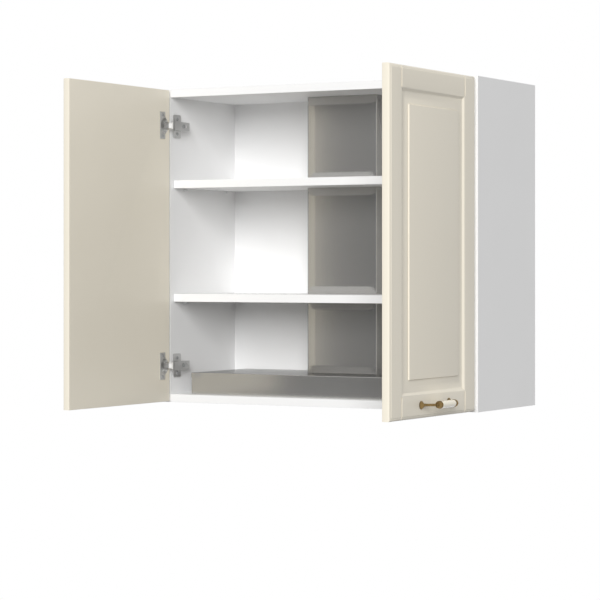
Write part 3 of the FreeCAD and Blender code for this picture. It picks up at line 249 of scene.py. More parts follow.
def plated_steel(name, light, dark, painted_hollow_grey, roughness, metallic):
    """Plated pressed metal with faint clouding, and painted light and shade in its hollows as a grey of
    their own.
    """
    material, tree, shader = new_material(name, Metallic=metallic)
    place = add_node(tree, "ShaderNodeTexCoord").outputs["Object"]
    clouds = add_node(tree, "ShaderNodeTexNoise", {"Scale": per_mm(PLATE_CLOUDS), "Detail": 5.0},
                      {"Vector": place})
    tone = add_node(tree, "ShaderNodeMix", {"data_type": "RGBA", 6: linear(dark), 7: linear(light)},
                    {0: clouds.outputs["Fac"]})
    openness = add_node(tree, "ShaderNodeAmbientOcclusion", {"samples": 8, "Distance": HOLLOW_DEPTH * MM})
    depth = add_node(tree, "ShaderNodeMapRange",
                     {"From Min": 0.3, "From Max": 0.8, "To Min": 1.0, "To Max": 0.0},
                     {"Value": openness.outputs["AO"]})
    # Painted light and shade: hollows take the painted hollow grey, lighter in the cups and on the pegs, a
    # little darker on the other plates.
    colour = add_node(tree, "ShaderNodeMix", {"data_type": "RGBA", 7: linear(painted_hollow_grey)},
                      {0: depth.outputs["Result"], 6: tone.outputs[2]})
    soft_edge = add_node(tree, "ShaderNodeBevel", {"samples": 4, "Radius": 0.35 * MM})
    bump = add_node(tree, "ShaderNodeBump", {"Strength": 0.08, "Distance": 0.1 * MM},
                    {"Height": clouds.outputs["Fac"], "Normal": soft_edge.outputs["Normal"]})
    dulling = add_node(tree, "ShaderNodeMapRange",
                       {"From Min": 0.3, "From Max": 0.7,
                        "To Min": roughness - 0.05, "To Max": roughness + 0.08},
                       {"Value": clouds.outputs["Fac"]})
    tree.links.new(colour.outputs[2], shader.inputs["Base Color"])
    tree.links.new(dulling.outputs["Result"], shader.inputs["Roughness"])
    tree.links.new(bump.outputs["Normal"], shader.inputs["Normal"])
    return material


nickel = plated_steel("nickel_plate", "E0E0DF", "D6D6D5", "D4D4D3", 0.32, 1.0)
cup_plate = plated_steel("nickel_cup", "D4D3D0", "C8C7C4", "F6F6F5", 0.4, 0.6)
peg_plate = plated_steel("zinc_peg", "F0F1F1", "E8E9E9", "F4F4F4", 0.45, 0.4)
zinc = plated_steel("zinc_plate", "C4C5C5", "AEB0B1", "B4B5B5", 0.34, 1.0)
aluminium = plated_steel("rolled_aluminium", "D3D5D7", "B4B7BA", "A9ACAF", 0.38, 1.0)
print("made", [metal.name for metal in (nickel, cup_plate, peg_plate, zinc, aluminium)])

# %% [markdown]
# ## Hinge links
# The links between a hinge's arm and its cup are bright nickel where they bridge the gap. Inside the cup
# they are rough and painted a darker grey, which is painted shade. Two materials with their own faces
# could show that. The links are plain packed solids, so it is simpler to let one material change along
# X: the change lies 376 to 378 mm from the cabinet's middle, where the links enter the cups of the open
# doors, and the same on both sides. The metallic value is only a half, so the links scatter some light.

# %% Bright nickel, painted darker inside the cups
BRIGHT_END, CUP_SHADE_START = 376, 378


def link_steel():
    """Nickel on the hinge links, polished between arm and cup, and rough and painted a darker grey, as
    painted shade, inside the cup.
    """
    material, tree, shader = new_material("nickel_link", Metallic=0.5)
    place = add_node(tree, "ShaderNodeTexCoord").outputs["Object"]
    axes = add_node(tree, "ShaderNodeSeparateXYZ", {}, {"Vector": place})
    aside = add_node(tree, "ShaderNodeMath", {"operation": "ABSOLUTE"}, {0: axes.outputs["X"]})
    inside_cup_shade = add_node(tree, "ShaderNodeMapRange",
                      {"From Min": BRIGHT_END * MM, "From Max": CUP_SHADE_START * MM,
                       "To Min": 0.0, "To Max": 1.0},
                      {"Value": aside.outputs["Value"]})
    # Painted shade: inside the cup the links take a darker grey instead of bright nickel.
    tone = add_node(tree, "ShaderNodeMix",
                    {"data_type": "RGBA", 6: linear("F6F5F2"), 7: linear("B4B3B1")},
                    {0: inside_cup_shade.outputs["Result"]})
    dulling = add_node(tree, "ShaderNodeMapRange", {"To Min": 0.3, "To Max": 1.0},
                       {"Value": inside_cup_shade.outputs["Result"]})
    soft_edge = add_node(tree, "ShaderNodeBevel", {"samples": 4, "Radius": 0.35 * MM})
    tree.links.new(tone.outputs[2], shader.inputs["Base Color"])
    tree.links.new(dulling.outputs["Result"], shader.inputs["Roughness"])
    tree.links.new(soft_edge.outputs["Normal"], shader.inputs["Normal"])
    return material


link_plate = link_steel()
print("made", link_plate.name)

# %% [markdown]
# ## Aged brass
# The handle's posts are turned brass with a brown patina. Hands rub the swellings bright, and the patina
# stays in the hollows and in cloudy patches about 9 mm wide, which gives the eye a warm metal with dark
# lines where the turning is deepest. The wear could be painted by hand. Here two masks are multiplied, how
# open a point is and a noise for the patches, so that it follows the turning by itself.

# %% Aged brass
PATINA_PATCH = 9
TURNING_DEPTH = 6


def aged_brass():
    """Brass with a brown patina that stays in the hollows and in cloudy patches."""
    material, tree, shader = new_material("aged_brass", Metallic=1.0)
    place = add_node(tree, "ShaderNodeTexCoord").outputs["Object"]
    patches = add_node(tree, "ShaderNodeTexNoise",
                       {"Scale": per_mm(PATINA_PATCH), "Detail": 6.0, "Roughness": 0.65}, {"Vector": place})
    openness = add_node(tree, "ShaderNodeAmbientOcclusion", {"samples": 6, "Distance": TURNING_DEPTH * MM})
    swellings = add_node(tree, "ShaderNodeMapRange",
                         {"From Min": 0.35, "From Max": 0.9, "To Min": 0.0, "To Max": 1.0},
                         {"Value": openness.outputs["AO"]})
    worn = add_node(tree, "ShaderNodeMapRange",
                    {"From Min": 0.25, "From Max": 0.65, "To Min": 0.55, "To Max": 1.0},
                    {"Value": patches.outputs["Fac"]})
    rubbed = add_node(tree, "ShaderNodeMath", {"operation": "MULTIPLY"},
                      {0: swellings.outputs["Result"], 1: worn.outputs["Result"]})
    tone = add_node(tree, "ShaderNodeMix",
                    {"data_type": "RGBA", 6: linear("3A2F1E"), 7: linear("967D52")},
                    {0: rubbed.outputs["Value"]})
    polish = add_node(tree, "ShaderNodeMapRange", {"To Min": 0.6, "To Max": 0.5},
                      {"Value": rubbed.outputs["Value"]})
    bump = add_node(tree, "ShaderNodeBump", {"Strength": 0.1, "Distance": 0.1 * MM},
                    {"Height": patches.outputs["Fac"]})
    tree.links.new(tone.outputs[2], shader.inputs["Base Color"])
    tree.links.new(polish.outputs["Result"], shader.inputs["Roughness"])
    tree.links.new(bump.outputs["Normal"], shader.inputs["Normal"])
    return material


brass = aged_brass()
print("made", brass.name)

# %% [markdown]
# ## Glazed porcelain
# The grip is cream porcelain under a clear glaze. The eye gets a warm white that lets a little light in,
# under a sharp, slightly wavy highlight. Two shaders could be mixed for that, but the Principled shader
# has a coat for the glaze and subsurface scattering for the body. Both are even all over, so they are set
# on its own sockets.

# %% Glazed porcelain
BODY_CLOUDS = 14


def glazed_porcelain():
    """Porcelain under a clear glaze, with slight clouding in the body and a wavy glaze."""
    material, tree, shader = new_material("glazed_porcelain", IOR=1.52, Roughness=0.22,
                                          Coat_Weight=1.0, Coat_Roughness=0.08, Subsurface_Weight=0.08,
                                          Subsurface_Radius=(2 * MM, 1.6 * MM, 1.2 * MM))
    place = add_node(tree, "ShaderNodeTexCoord").outputs["Object"]
    clouds = add_node(tree, "ShaderNodeTexNoise", {"Scale": per_mm(BODY_CLOUDS), "Detail": 3.0},
                      {"Vector": place})
    tone = add_node(tree, "ShaderNodeMix",
                    {"data_type": "RGBA", 6: linear("FAF0D8"), 7: linear("FEF6E2")},
                    {0: clouds.outputs["Fac"]})
    bump = add_node(tree, "ShaderNodeBump", {"Strength": 0.06, "Distance": 0.3 * MM},
                    {"Height": clouds.outputs["Fac"]})
    tree.links.new(tone.outputs[2], shader.inputs["Base Color"])
    tree.links.new(bump.outputs["Normal"], shader.inputs["Normal"])
    return material


porcelain = glazed_porcelain()
print("made", porcelain.name)

# %% [markdown]
# ## Moulded plastics and enamel
# The gland, outlet collar, flaps, latches, switch box, impeller and buttons are injection moulded, and
# the motor has a coat of black enamel. Moulds are spark eroded, which leaves fine round dimples that give
# the eye a soft sheen. Noise would look cloudy, so a Voronoi pattern makes the dimples. They are about
# 0.1 mm wide on a real piece and are drawn at 0.6 mm so that they show.

# %% Moulded plastics and enamel
MOULD_DIMPLE = 0.6


def moulded_plastic(name, colour, roughness):
    """Moulded plastic, or enamel, with a fine dimpled grain."""
    material, tree, shader = new_material(name, Base_Color=linear(colour), IOR=1.53)
    place = add_node(tree, "ShaderNodeTexCoord").outputs["Object"]
    grain = add_node(tree, "ShaderNodeTexVoronoi", {"Scale": per_mm(MOULD_DIMPLE)}, {"Vector": place})
    soft_edge = add_node(tree, "ShaderNodeBevel", {"samples": 4, "Radius": 0.4 * MM})
    bump = add_node(tree, "ShaderNodeBump", {"Strength": 0.12, "Distance": 0.06 * MM},
                    {"Height": grain.outputs["Distance"], "Normal": soft_edge.outputs["Normal"]})
    sheen = add_node(tree, "ShaderNodeMapRange",
                     {"From Min": 0.0, "From Max": 0.8,
                      "To Min": roughness - 0.05, "To Max": roughness + 0.05},
                     {"Value": grain.outputs["Distance"]})
    tree.links.new(sheen.outputs["Result"], shader.inputs["Roughness"])
    tree.links.new(bump.outputs["Normal"], shader.inputs["Normal"])
    return material


grey_plastic = moulded_plastic("grey_polypropylene", "9A9B9C", 0.45)
black_plastic = moulded_plastic("black_polyamide", "1C1C1D", 0.42)
pale_plastic = moulded_plastic("pale_abs", "DADAD8", 0.3)
motor_paint = moulded_plastic("black_motor_enamel", "242527", 0.38)
print("made", [paint.name for paint in (grey_plastic, black_plastic, pale_plastic, motor_paint)])

# %% [markdown]
# ## Galvanised sheet
# The blower's plate is hot-dip galvanised. The zinc sets in crystals about 8 mm across, and each one
# gives the eye its own grey. Voronoi cells look just like that, so the random value of each cell picks
# the tone and roughness, and no picture of crystals is needed.

# %% Galvanised sheet
ZINC_CRYSTAL = 8


def galvanised_sheet():
    """Hot-dip zinc, whose crystals each have their own grey."""
    material, tree, shader = new_material("galvanised_sheet", Metallic=1.0)
    place = add_node(tree, "ShaderNodeTexCoord").outputs["Object"]
    crystals = add_node(tree, "ShaderNodeTexVoronoi", {"Scale": per_mm(ZINC_CRYSTAL)}, {"Vector": place})
    tone = add_node(tree, "ShaderNodeMix",
                    {"data_type": "RGBA", 6: linear("8F9498"), 7: linear("BCC0C3")},
                    {0: crystals.outputs["Color"]})
    dulling = add_node(tree, "ShaderNodeMapRange", {"To Min": 0.32, "To Max": 0.5},
                       {"Value": crystals.outputs["Color"]})
    tree.links.new(tone.outputs[2], shader.inputs["Base Color"])
    tree.links.new(dulling.outputs["Result"], shader.inputs["Roughness"])
    return material


galvanised = galvanised_sheet()
print("made", galvanised.name)

# %% [markdown]
# ## Lamp glass
# The two lamps under the hood have pressed glass, frosted inside, so the eye gets a milky disc with small
# sparkles. Clear glass over a white reflector would take two pieces. One shader does it here: it lets a
# little over half of the light through, and a Voronoi bump makes the 1.5 mm dimples.

# %% Frosted lamp glass
GLASS_DIMPLE = 1.5


def frosted_glass():
    """Pressed lamp glass, frosted inside, with small dimples."""
    material, tree, shader = new_material("frosted_lamp_glass", Base_Color=linear("F2F0E8"), IOR=1.5,
                                          Transmission_Weight=0.55, Roughness=0.35)
    place = add_node(tree, "ShaderNodeTexCoord").outputs["Object"]
    dimples = add_node(tree, "ShaderNodeTexVoronoi", {"Scale": per_mm(GLASS_DIMPLE)}, {"Vector": place})
    bump = add_node(tree, "ShaderNodeBump", {"Strength": 0.4, "Distance": 0.3 * MM},
                    {"Height": dimples.outputs["Distance"]})
    tree.links.new(bump.outputs["Normal"], shader.inputs["Normal"])
    return material


lamp_glass = frosted_glass()
print("made", lamp_glass.name)

# %% [markdown]
# ## Beech dowels
# The carcass is held by beech dowels: pale pink-brown wood with short dark flecks. The flecks are
# stretched noise again, 4 mm long and 0.5 mm wide, along X like the dowels. Boards hide the dowels, so a
# simple recipe is enough.

# %% Plain beech
FLECK_LONG, FLECK_WIDE = 4, 0.5


def plain_beech():
    """Turned beech with short flecks along the grain."""
    material, tree, shader = new_material("plain_beech", Roughness=0.6)
    place = add_node(tree, "ShaderNodeTexCoord").outputs["Object"]
    along = add_node(tree, "ShaderNodeMapping",
                     {"Scale": [per_mm(FLECK_LONG), per_mm(FLECK_WIDE), per_mm(FLECK_WIDE)]},
                     {"Vector": place})
    flecks = add_node(tree, "ShaderNodeTexNoise", {"Scale": 1.0, "Detail": 3.0},
                      {"Vector": along.outputs["Vector"]})
    tone = add_node(tree, "ShaderNodeMix",
                    {"data_type": "RGBA", 6: linear("B98F63"), 7: linear("D9B88C")},
                    {0: flecks.outputs["Fac"]})
    tree.links.new(tone.outputs[2], shader.inputs["Base Color"])
    return material


beech = plain_beech()
print("made", beech.name, "and", len(bpy.data.materials), "materials in all")

# %% [markdown]
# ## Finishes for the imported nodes
# Nodes whose solid already has the right shape keep it and only get a finish. The record says which
# material slot each node has, so a short table from slot to material is enough. Hinge cups, links and
# pegs differ from the rest of their slot, so they get their own plate afterwards.

# %% Put the finishes on
FINISH_OF_SLOT = {
    "white_board": melamine, "white_hardboard": hardboard, "cream_front": foil, "beech": beech,
    "zinc": zinc, "nickel": nickel, "stainless": stainless, "aluminium_filter": aluminium,
    "grey_plastic": grey_plastic, "black_plastic": black_plastic, "button_plastic": pale_plastic,
    "motor_paint": motor_paint, "galvanised": galvanised, "lamp_glass": lamp_glass,
    "old_brass": brass, "porcelain": porcelain,
}


def give_finish(piece, material):
    """Make this the piece's only material."""
    piece.data.materials.clear()
    piece.data.materials.append(material)


for part in frame["record"]["subparts"]:
    give_finish(nodes[part["node"]], FINISH_OF_SLOT[part["material_slot"]])
give_finish(nodes["shelf_pegs"], peg_plate)
for side in ("left", "right"):
    give_finish(nodes[f"hinge_cups_{side}"], cup_plate)
    give_finish(nodes[f"inner_links_{side}"], link_plate)
    give_finish(nodes[f"outer_links_{side}"], link_plate)
print("finished", len(nodes), "packed nodes")

# %% [markdown]
# ## From a mesh to a piece
# The next steps build meshes in code. Each finished mesh becomes an object with one material, rides on a
# body of the model so that it moves with its joint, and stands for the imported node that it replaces.
# Faces are shaded smooth, and edges over 32 degrees stay sharp, so that profiles look round and corners
# crisp.

# %% Mesh helpers
HANG_HEIGHT = 680.0
SHARP = math.radians(32)


def at_height(height):
    """A height above the cabinet's underside, in the frame of the wall hooks, in metres."""
    return (height - HANG_HEIGHT) * MM


def mesh_piece(name, mesh, material, body, replaced):
    """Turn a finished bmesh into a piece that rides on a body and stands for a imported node."""
    data = bpy.data.meshes.new(name)
    bmesh.ops.recalc_face_normals(mesh, faces=mesh.faces)
    mesh.to_mesh(data)
    mesh.free()
    data.materials.append(material)
    data.polygons.foreach_set("use_smooth", [True] * len(data.polygons))
    data.set_sharp_from_angle(angle=SHARP)
    piece = bpy.data.objects.new(name, data)
    bpy.context.scene.collection.objects.link(piece)
    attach(piece, body)
    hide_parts(replaced)
    return piece


print("the cabinet's underside is at", at_height(0), "m and its top at", at_height(720), "m")

# %% [markdown]
# ## Duct
# The duct is folded from sheet, and each length of its front that shows between two boards is pressed
# forward a little, which stiffens the sheet and lets its margins catch the light. The imported duct has a
# flat front. A bump in the steel could show the margins, but a mesh carries them in its shape.
# So this piece starts as a copy of the imported mesh, planes cut its front into a grid that is fine at the
# margins, and the grid's points move forward. First come the sizes, and how far each point moves.

# %% How far the duct's front is pressed
DUCT_MIDDLE, DUCT_HALF, DUCT_FRONT = -12.0, 90.0, 152.0
SHOWN_LENGTHS = ((67.0, 231.0), (249.0, 493.0), (511.0, 702.0))
MARGIN, ROUNDING, PRESSED = 18.0, 5.0, 2.0


def smooth_least(first, second, rounding):
    """The smaller of two values, with the change from one to the other rounded off."""
    blend = max(rounding - abs(first - second), 0.0) / rounding
    return min(first, second) - blend ** 3 * rounding / 6


def pressed_by(aside, height):
    """How far the duct's front stands forward at a place, in millimetres."""
    from_edge = DUCT_HALF - abs(aside)
    from_boards = max(min(height - low, high - height) for low, high in SHOWN_LENGTHS)
    shares = [smooth_least(max(gap, 0.0), MARGIN, ROUNDING) / MARGIN for gap in (from_edge, from_boards)]
    return PRESSED * shares[0] * shares[1]


print("9 mm from its edge, the front stands", round(pressed_by(DUCT_HALF - 9, 371), 2), "mm forward")

# %% [markdown]
# ## Cutting and pressing the grid
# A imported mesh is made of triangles, so the front's are first joined into one face. Each plane then cuts
# only faces of the front. Points on its border are shared with the sides, and since the front moves
# nowhere along its border, the duct stays closed.

# %% Press the duct's front
GRID_INSETS = (0.0, 3.0, 6.0, 9.0, 12.0, 13.5, 15.0, 16.5, 18.0, 19.5, 21.0, 23.0)
SAME_POINT, SAME_PLANE = 0.001 * MM, 0.01 * MM


def on_front(corners):
    """True if all these vertices lie in the duct's flat front."""
    return all(abs(corner.co.y + DUCT_FRONT * MM) < SAME_PLANE for corner in corners)


def grid_cuts():
    """Place and axis of each plane that cuts the front: upright ones on X, level ones on Z."""
    cuts = []
    for inset in GRID_INSETS:
        cuts += [((DUCT_MIDDLE + way * (DUCT_HALF - inset)) * MM, 0) for way in (-1, 1)]
        for low, high in SHOWN_LENGTHS:
            cuts += [(at_height(low + inset), 2), (at_height(high - inset), 2)]
    return cuts


def pressed_duct():
    """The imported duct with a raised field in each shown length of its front."""
    mesh = bmesh.new()
    mesh.from_mesh(nodes["duct_casing"].data)
    bmesh.ops.remove_doubles(mesh, verts=mesh.verts, dist=SAME_POINT)
    bmesh.ops.dissolve_faces(mesh, faces=[face for face in mesh.faces if on_front(face.verts)])
    for place, axis in grid_cuts():
        point, facing = Vector(), Vector()
        point[axis], facing[axis] = place, 1.0
        faces = [face for face in mesh.faces if on_front(face.verts)]
        edges = list({edge for face in faces for edge in face.edges})
        bmesh.ops.bisect_plane(mesh, geom=faces + edges, dist=SAME_POINT, plane_co=point, plane_no=facing)
    for corner in [corner for corner in mesh.verts if on_front([corner])]:
        aside, height = corner.co.x / MM - DUCT_MIDDLE, corner.co.z / MM + HANG_HEIGHT
        corner.co.y -= pressed_by(aside, height) * MM
    return mesh_piece("pressed_duct", mesh, stainless, "carcass", "duct_casing")


duct = pressed_duct()
print(duct.name, len(duct.data.polygons), "faces")

# %% [markdown]
# ## Door profile
# Each door is one fibreboard blank, milled on its face. From the edge inwards there is a rounded rim with
# a small step, a flat frame, a slope down to a narrow flat, a long bevel that rises again, a steep little
# step, and a raised field. A boolean of plain blocks would leave hard corners, so the face is built as
# nested rectangles. Each rectangle has an inset from the edge and a depth below the face, in millimetres,
# and that list of pairs is the milling cutter's profile.

# %% Door sizes and profile
DOOR_WIDTH, DOOR_HEIGHT, DOOR_THICK = 397.0, 716.0, 18.0
STILE, RAIL_TOP, RAIL_BOTTOM = 52.0, 45.0, 47.0
BACK_RADIUS, BACK_STEPS = 1.0, 4

turns = [math.pi / 2 * i / BACK_STEPS for i in range(BACK_STEPS, -1, -1)]
BACK_EDGE = [(BACK_RADIUS * (1 - math.cos(turn)), DOOR_THICK - BACK_RADIUS * (1 - math.sin(turn)))
             for turn in turns]
ROUNDED_RIM = [(0.0, 4.8), (0.2, 4.0), (0.7, 3.1), (1.5, 2.3), (2.5, 1.7), (3.7, 1.2), (4.9, 0.95),
               (5.8, 0.9)]
RIM_STEP = [(6.1, 0.7), (6.4, 0.3), (6.8, 0.05), (7.3, 0.0)]
SLOPE = [(-0.8, 0.0), (0.0, 0.1), (1.0, 0.45), (2.2, 1.1), (3.6, 2.0), (5.0, 3.0), (6.4, 3.85), (7.6, 4.4)]
FLAT_AND_BEVEL = [(8.8, 4.6), (19.0, 4.6), (20.0, 4.5), (22.0, 4.2), (26.0, 3.5), (30.0, 2.8), (32.2, 2.45)]
FIELD_STEP = [(32.6, 2.3), (32.9, 1.6), (33.3, 0.6), (33.6, 0.1), (34.2, 0.0)]
RIM = BACK_EDGE + ROUNDED_RIM + RIM_STEP
PANEL = SLOPE + FLAT_AND_BEVEL + FIELD_STEP
print("rim loops", len(RIM), "panel loops", len(PANEL))

# %% [markdown]
# ## Door blank
# The rim's insets count from the door's edge, and the panel's from the inner edge of the stiles and
# rails. Neighbouring rectangles are joined by four-sided faces, and the first and last rectangle close
# the back and the field. The doors stand open here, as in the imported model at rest, and one is the
# other's mirror image.

# %% Door blank
DOOR_LOW, DOOR_EDGE_Y, DOOR_INNER_X = 2.0, -307.5, 380.0


def door_point(mirrored, along, up, depth):
    """A point of the open door: along from the hinge edge, up from its foot, down from its face."""
    x = DOOR_INNER_X + DOOR_THICK - depth
    return Vector(((x if mirrored else -x) * MM, (DOOR_EDGE_Y - along) * MM, at_height(DOOR_LOW + up)))


def door_loop(mesh, mirrored, aside, low, high, depth):
    """One rectangular loop of the door's profile, with its distances from the door's four edges."""
    far, top = DOOR_WIDTH - aside, DOOR_HEIGHT - high
    corners = [(aside, low), (far, low), (far, top), (aside, top)]
    return [mesh.verts.new(door_point(mirrored, along, up, depth)) for along, up in corners]


def door_blank(mirrored):
    """The milled blank, before grooves and bores."""
    mesh = bmesh.new()
    loops = [door_loop(mesh, mirrored, inset, inset, inset, depth) for inset, depth in RIM]
    loops += [door_loop(mesh, mirrored, STILE + inset, RAIL_BOTTOM + inset, RAIL_TOP + inset, depth)
              for inset, depth in PANEL]
    for outer, inner in zip(loops, loops[1:]):
        for i in range(4):
            j = (i + 1) % 4
            mesh.faces.new([outer[i], outer[j], inner[j], inner[i]])
    mesh.faces.new(loops[0])
    mesh.faces.new(loops[-1])
    return mesh


print("a door's upper hinge corner is at", [round(v, 4) for v in door_point(True, 0, DOOR_HEIGHT, 0)])

# %% [markdown]
# ## Joint grooves
# V-shaped grooves carry each stile's inner edge through the rails, the way a joiner's frame shows its
# joints. They cross the rectangles of the profile, so they can't be part of it. A boolean with
# three-sided prisms cuts them, as the milling cutter does. Its result is kept as the door's own mesh, and
# the prisms are removed.

# %% Groove prisms and cutting
GROOVE_HALF, GROOVE_DEEP = 2.0, 2.8
OVER_FACE, PAST_END, INTO_SLOPE = 1.0, 2.0, 0.4


def cutter_from(name, mesh):
    """A plain object for a boolean, from a finished bmesh."""
    bmesh.ops.recalc_face_normals(mesh, faces=mesh.faces)
    data = bpy.data.meshes.new(name)
    mesh.to_mesh(data)
    mesh.free()
    cutter = bpy.data.objects.new(name, data)
    bpy.context.scene.collection.objects.link(cutter)
    return cutter


def joint_grooves(mirrored):
    """Prisms that cut the V-grooves through the rails, in line with the stiles."""
    mesh = bmesh.new()
    half = GROOVE_HALF * (GROOVE_DEEP + OVER_FACE) / GROOVE_DEEP
    section = ((-half, -OVER_FACE), (half, -OVER_FACE), (0.0, GROOVE_DEEP))
    runs = ((-PAST_END, RAIL_BOTTOM - INTO_SLOPE),
            (DOOR_HEIGHT - RAIL_TOP + INTO_SLOPE, DOOR_HEIGHT + PAST_END))
    for line in (STILE, DOOR_WIDTH - STILE):
        for run in runs:
            ends = [[mesh.verts.new(door_point(mirrored, line + across, up, depth))
                     for across, depth in section]
                    for up in run]
            mesh.faces.new(ends[0])
            mesh.faces.new(ends[1])
            for i in range(3):
                j = (i + 1) % 3
                mesh.faces.new([ends[0][i], ends[0][j], ends[1][j], ends[1][i]])
    return cutter_from("joint_grooves", mesh)


def cut_away(piece, cutter):
    """Take the cutter out of the piece for good, and remove the cutter."""
    step = piece.modifiers.new("cut", "BOOLEAN")
    step.operation = "DIFFERENCE"
    step.solver = "EXACT"
    step.object = cutter
    bpy.context.view_layer.update()
    shaped = bpy.data.meshes.new_from_object(piece.evaluated_get(bpy.context.evaluated_depsgraph_get()))
    piece.modifiers.clear()
    shaped.name = piece.data.name
    piece.data = shaped
    bpy.data.objects.remove(cutter)


print("grooves are", 2 * GROOVE_HALF, "mm wide and", GROOVE_DEEP, "mm deep")

# %% [markdown]
# ## Hinge bores
# Each hinge cup sits in a round bore that is sunk from the door's inner face. A bore is a turned shape,
# and so are the handle's pieces later on, so this is the place for a function that spins an outline round
# an axis. Blender has a Screw modifier for that, but rings of vertices in code need no object of their
# own.

# %% Spinning an outline, and the bores
BORE_HEIGHTS = (84.0, 636.0)
BORE_INSET, BORE_RADIUS, BORE_LONG, BORE_STEPS = 21.5, 17.5, 13.4, 64


def spin(mesh, outline, origin, axis, steps=48):
    """Spin an outline, radius and distance along the axis in millimetres, round an axis through a point."""
    axis = Vector(axis).normalized()
    side = axis.orthogonal().normalized()
    other = axis.cross(side)
    turns = [2 * math.pi * i / steps for i in range(steps)]
    rings = []
    for radius, along in outline:
        middle = Vector(origin) + axis * along * MM
        spokes = [side * math.cos(turn) + other * math.sin(turn) for turn in turns]
        ring = [middle + spoke * radius * MM for spoke in spokes] if radius else [middle]
        rings.append([mesh.verts.new(place) for place in ring])
    for first, second in zip(rings, rings[1:]):
        for i in range(steps):
            j = (i + 1) % steps
            corners = [first[i % len(first)], first[j % len(first)],
                       second[j % len(second)], second[i % len(second)]]
            mesh.faces.new(list(dict.fromkeys(corners)))
    return mesh


def outwards(mirrored):
    """The way that the open door's face looks."""
    return Vector((1, 0, 0) if mirrored else (-1, 0, 0))


def cup_bores(mirrored):
    """Round bores for the hinge cups, sunk from the inner face."""
    mesh = bmesh.new()
    outline = [(0, 0), (BORE_RADIUS, 0), (BORE_RADIUS, BORE_LONG), (0, BORE_LONG)]
    for height in BORE_HEIGHTS:
        middle = door_point(mirrored, BORE_INSET, height - DOOR_LOW, DOOR_THICK + OVER_FACE)
        spin(mesh, outline, middle, outwards(mirrored), BORE_STEPS)
    return cutter_from("cup_bores", mesh)


print("bores are", 2 * BORE_RADIUS, "mm wide and", round(BORE_LONG - OVER_FACE, 1), "mm deep")

# %% [markdown]
# ## Doors
# Now each door can be made: the blank becomes a piece that rides on its door's body, and then grooves and
# bores are cut. A boolean makes a new mesh, so its sharp edges are marked again at the end.

# %% Build the doors
def panelled_door(side):
    """A door blank with its milled profile, grooves and hinge bores."""
    mirrored = side == "right"
    piece = mesh_piece(f"panelled_door_{side}", door_blank(mirrored), foil, f"door_{side}",
                       f"door_{side}")
    cut_away(piece, joint_grooves(mirrored))
    cut_away(piece, cup_bores(mirrored))
    piece.data.set_sharp_from_angle(angle=SHARP)
    return piece


for side in ("left", "right"):
    door = panelled_door(side)
    print(door.name, len(door.data.polygons), "faces")

# %% [markdown]
# ## Handles
# A handle is two turned brass posts with a porcelain grip between them, on a rod that the grip hides. A
# post has a rosette at its foot, a thin leg that leans in, and a domed head whose cup holds the grip's
# end. All of these are turned on a lathe, so spinning an outline is the natural way, and the outlines
# below are what a turner would draw: a radius and a distance along the axis, in millimetres. The rod keeps
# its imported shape.

# %% Handle outlines
ROSETTE = [(0, 0), (8.3, 0), (8.5, 0.3), (8.5, 1.2), (8.1, 1.8), (7.2, 2.6), (6.0, 3.6), (5.0, 4.6),
           (4.2, 5.8), (3.5, 7.0), (2.5, 7.7), (0, 8)]
LEG = [(0, 6), (3.2, 6.5), (2.9, 10), (2.7, 16), (2.6, 24), (2.7, 31), (3.0, 37), (0, 39)]
HEAD = [(0, -7.5), (1.2, -7.3), (2.0, -6.9), (2.5, -6.2), (2.6, -5.5), (2.5, -4.9), (3.0, -4.7),
        (4.4, -4.4), (5.6, -3.6), (6.6, -2.5), (7.3, -1.1), (7.6, 0.2), (7.6, 1.4), (7.4, 2.2), (7.05, 2.8),
        (7.0, 3.4), (7.15, 4.0), (7.8, 4.4), (8.1, 4.9), (8.1, 6.4), (7.9, 6.9), (7.7, 7.0), (0, 7.0)]
GRIP_HALF, GRIP_RADIUS, GRIP_SWELL, GRIP_END, GRIP_STEPS = 31.0, 7.7, 0.2, 1.5, 30


def grip_outline():
    """A straight porcelain barrel with a soft swell and rounded ends."""
    barrel = []
    for i in range(GRIP_STEPS + 1):
        along = (GRIP_HALF - GRIP_END) * (2 * i / GRIP_STEPS - 1)
        barrel.append((GRIP_RADIUS - GRIP_SWELL * (along / GRIP_HALF) ** 2, along))
    # Two small steps round off each end.
    ends = [(0, GRIP_HALF), (GRIP_RADIUS - 0.6, GRIP_HALF), (GRIP_RADIUS - 0.35, GRIP_HALF - 0.6)]
    return [(radius, -along) for radius, along in ends] + barrel + ends[::-1]


print("a grip is", 2 * GRIP_HALF, "mm long and", 2 * GRIP_RADIUS, "mm thick")

# %% [markdown]
# ## Building the handles
# The feet stand 128 mm apart on the bottom rail, and the heads are closer together, 27 mm off the door. A
# leg's axis therefore runs from its foot to its head. The posts of a handle are one piece, because they
# share a body and a finish, and the grip is another.

# %% Build the handles
HANDLE_UP, HANDLE_ALONG, HANDLE_REACH = 29.0, 195.0, 27.0
FOOT_SPREAD, HEAD_SPREAD, GRIP_TURNS = 64.0, 38.0, 64


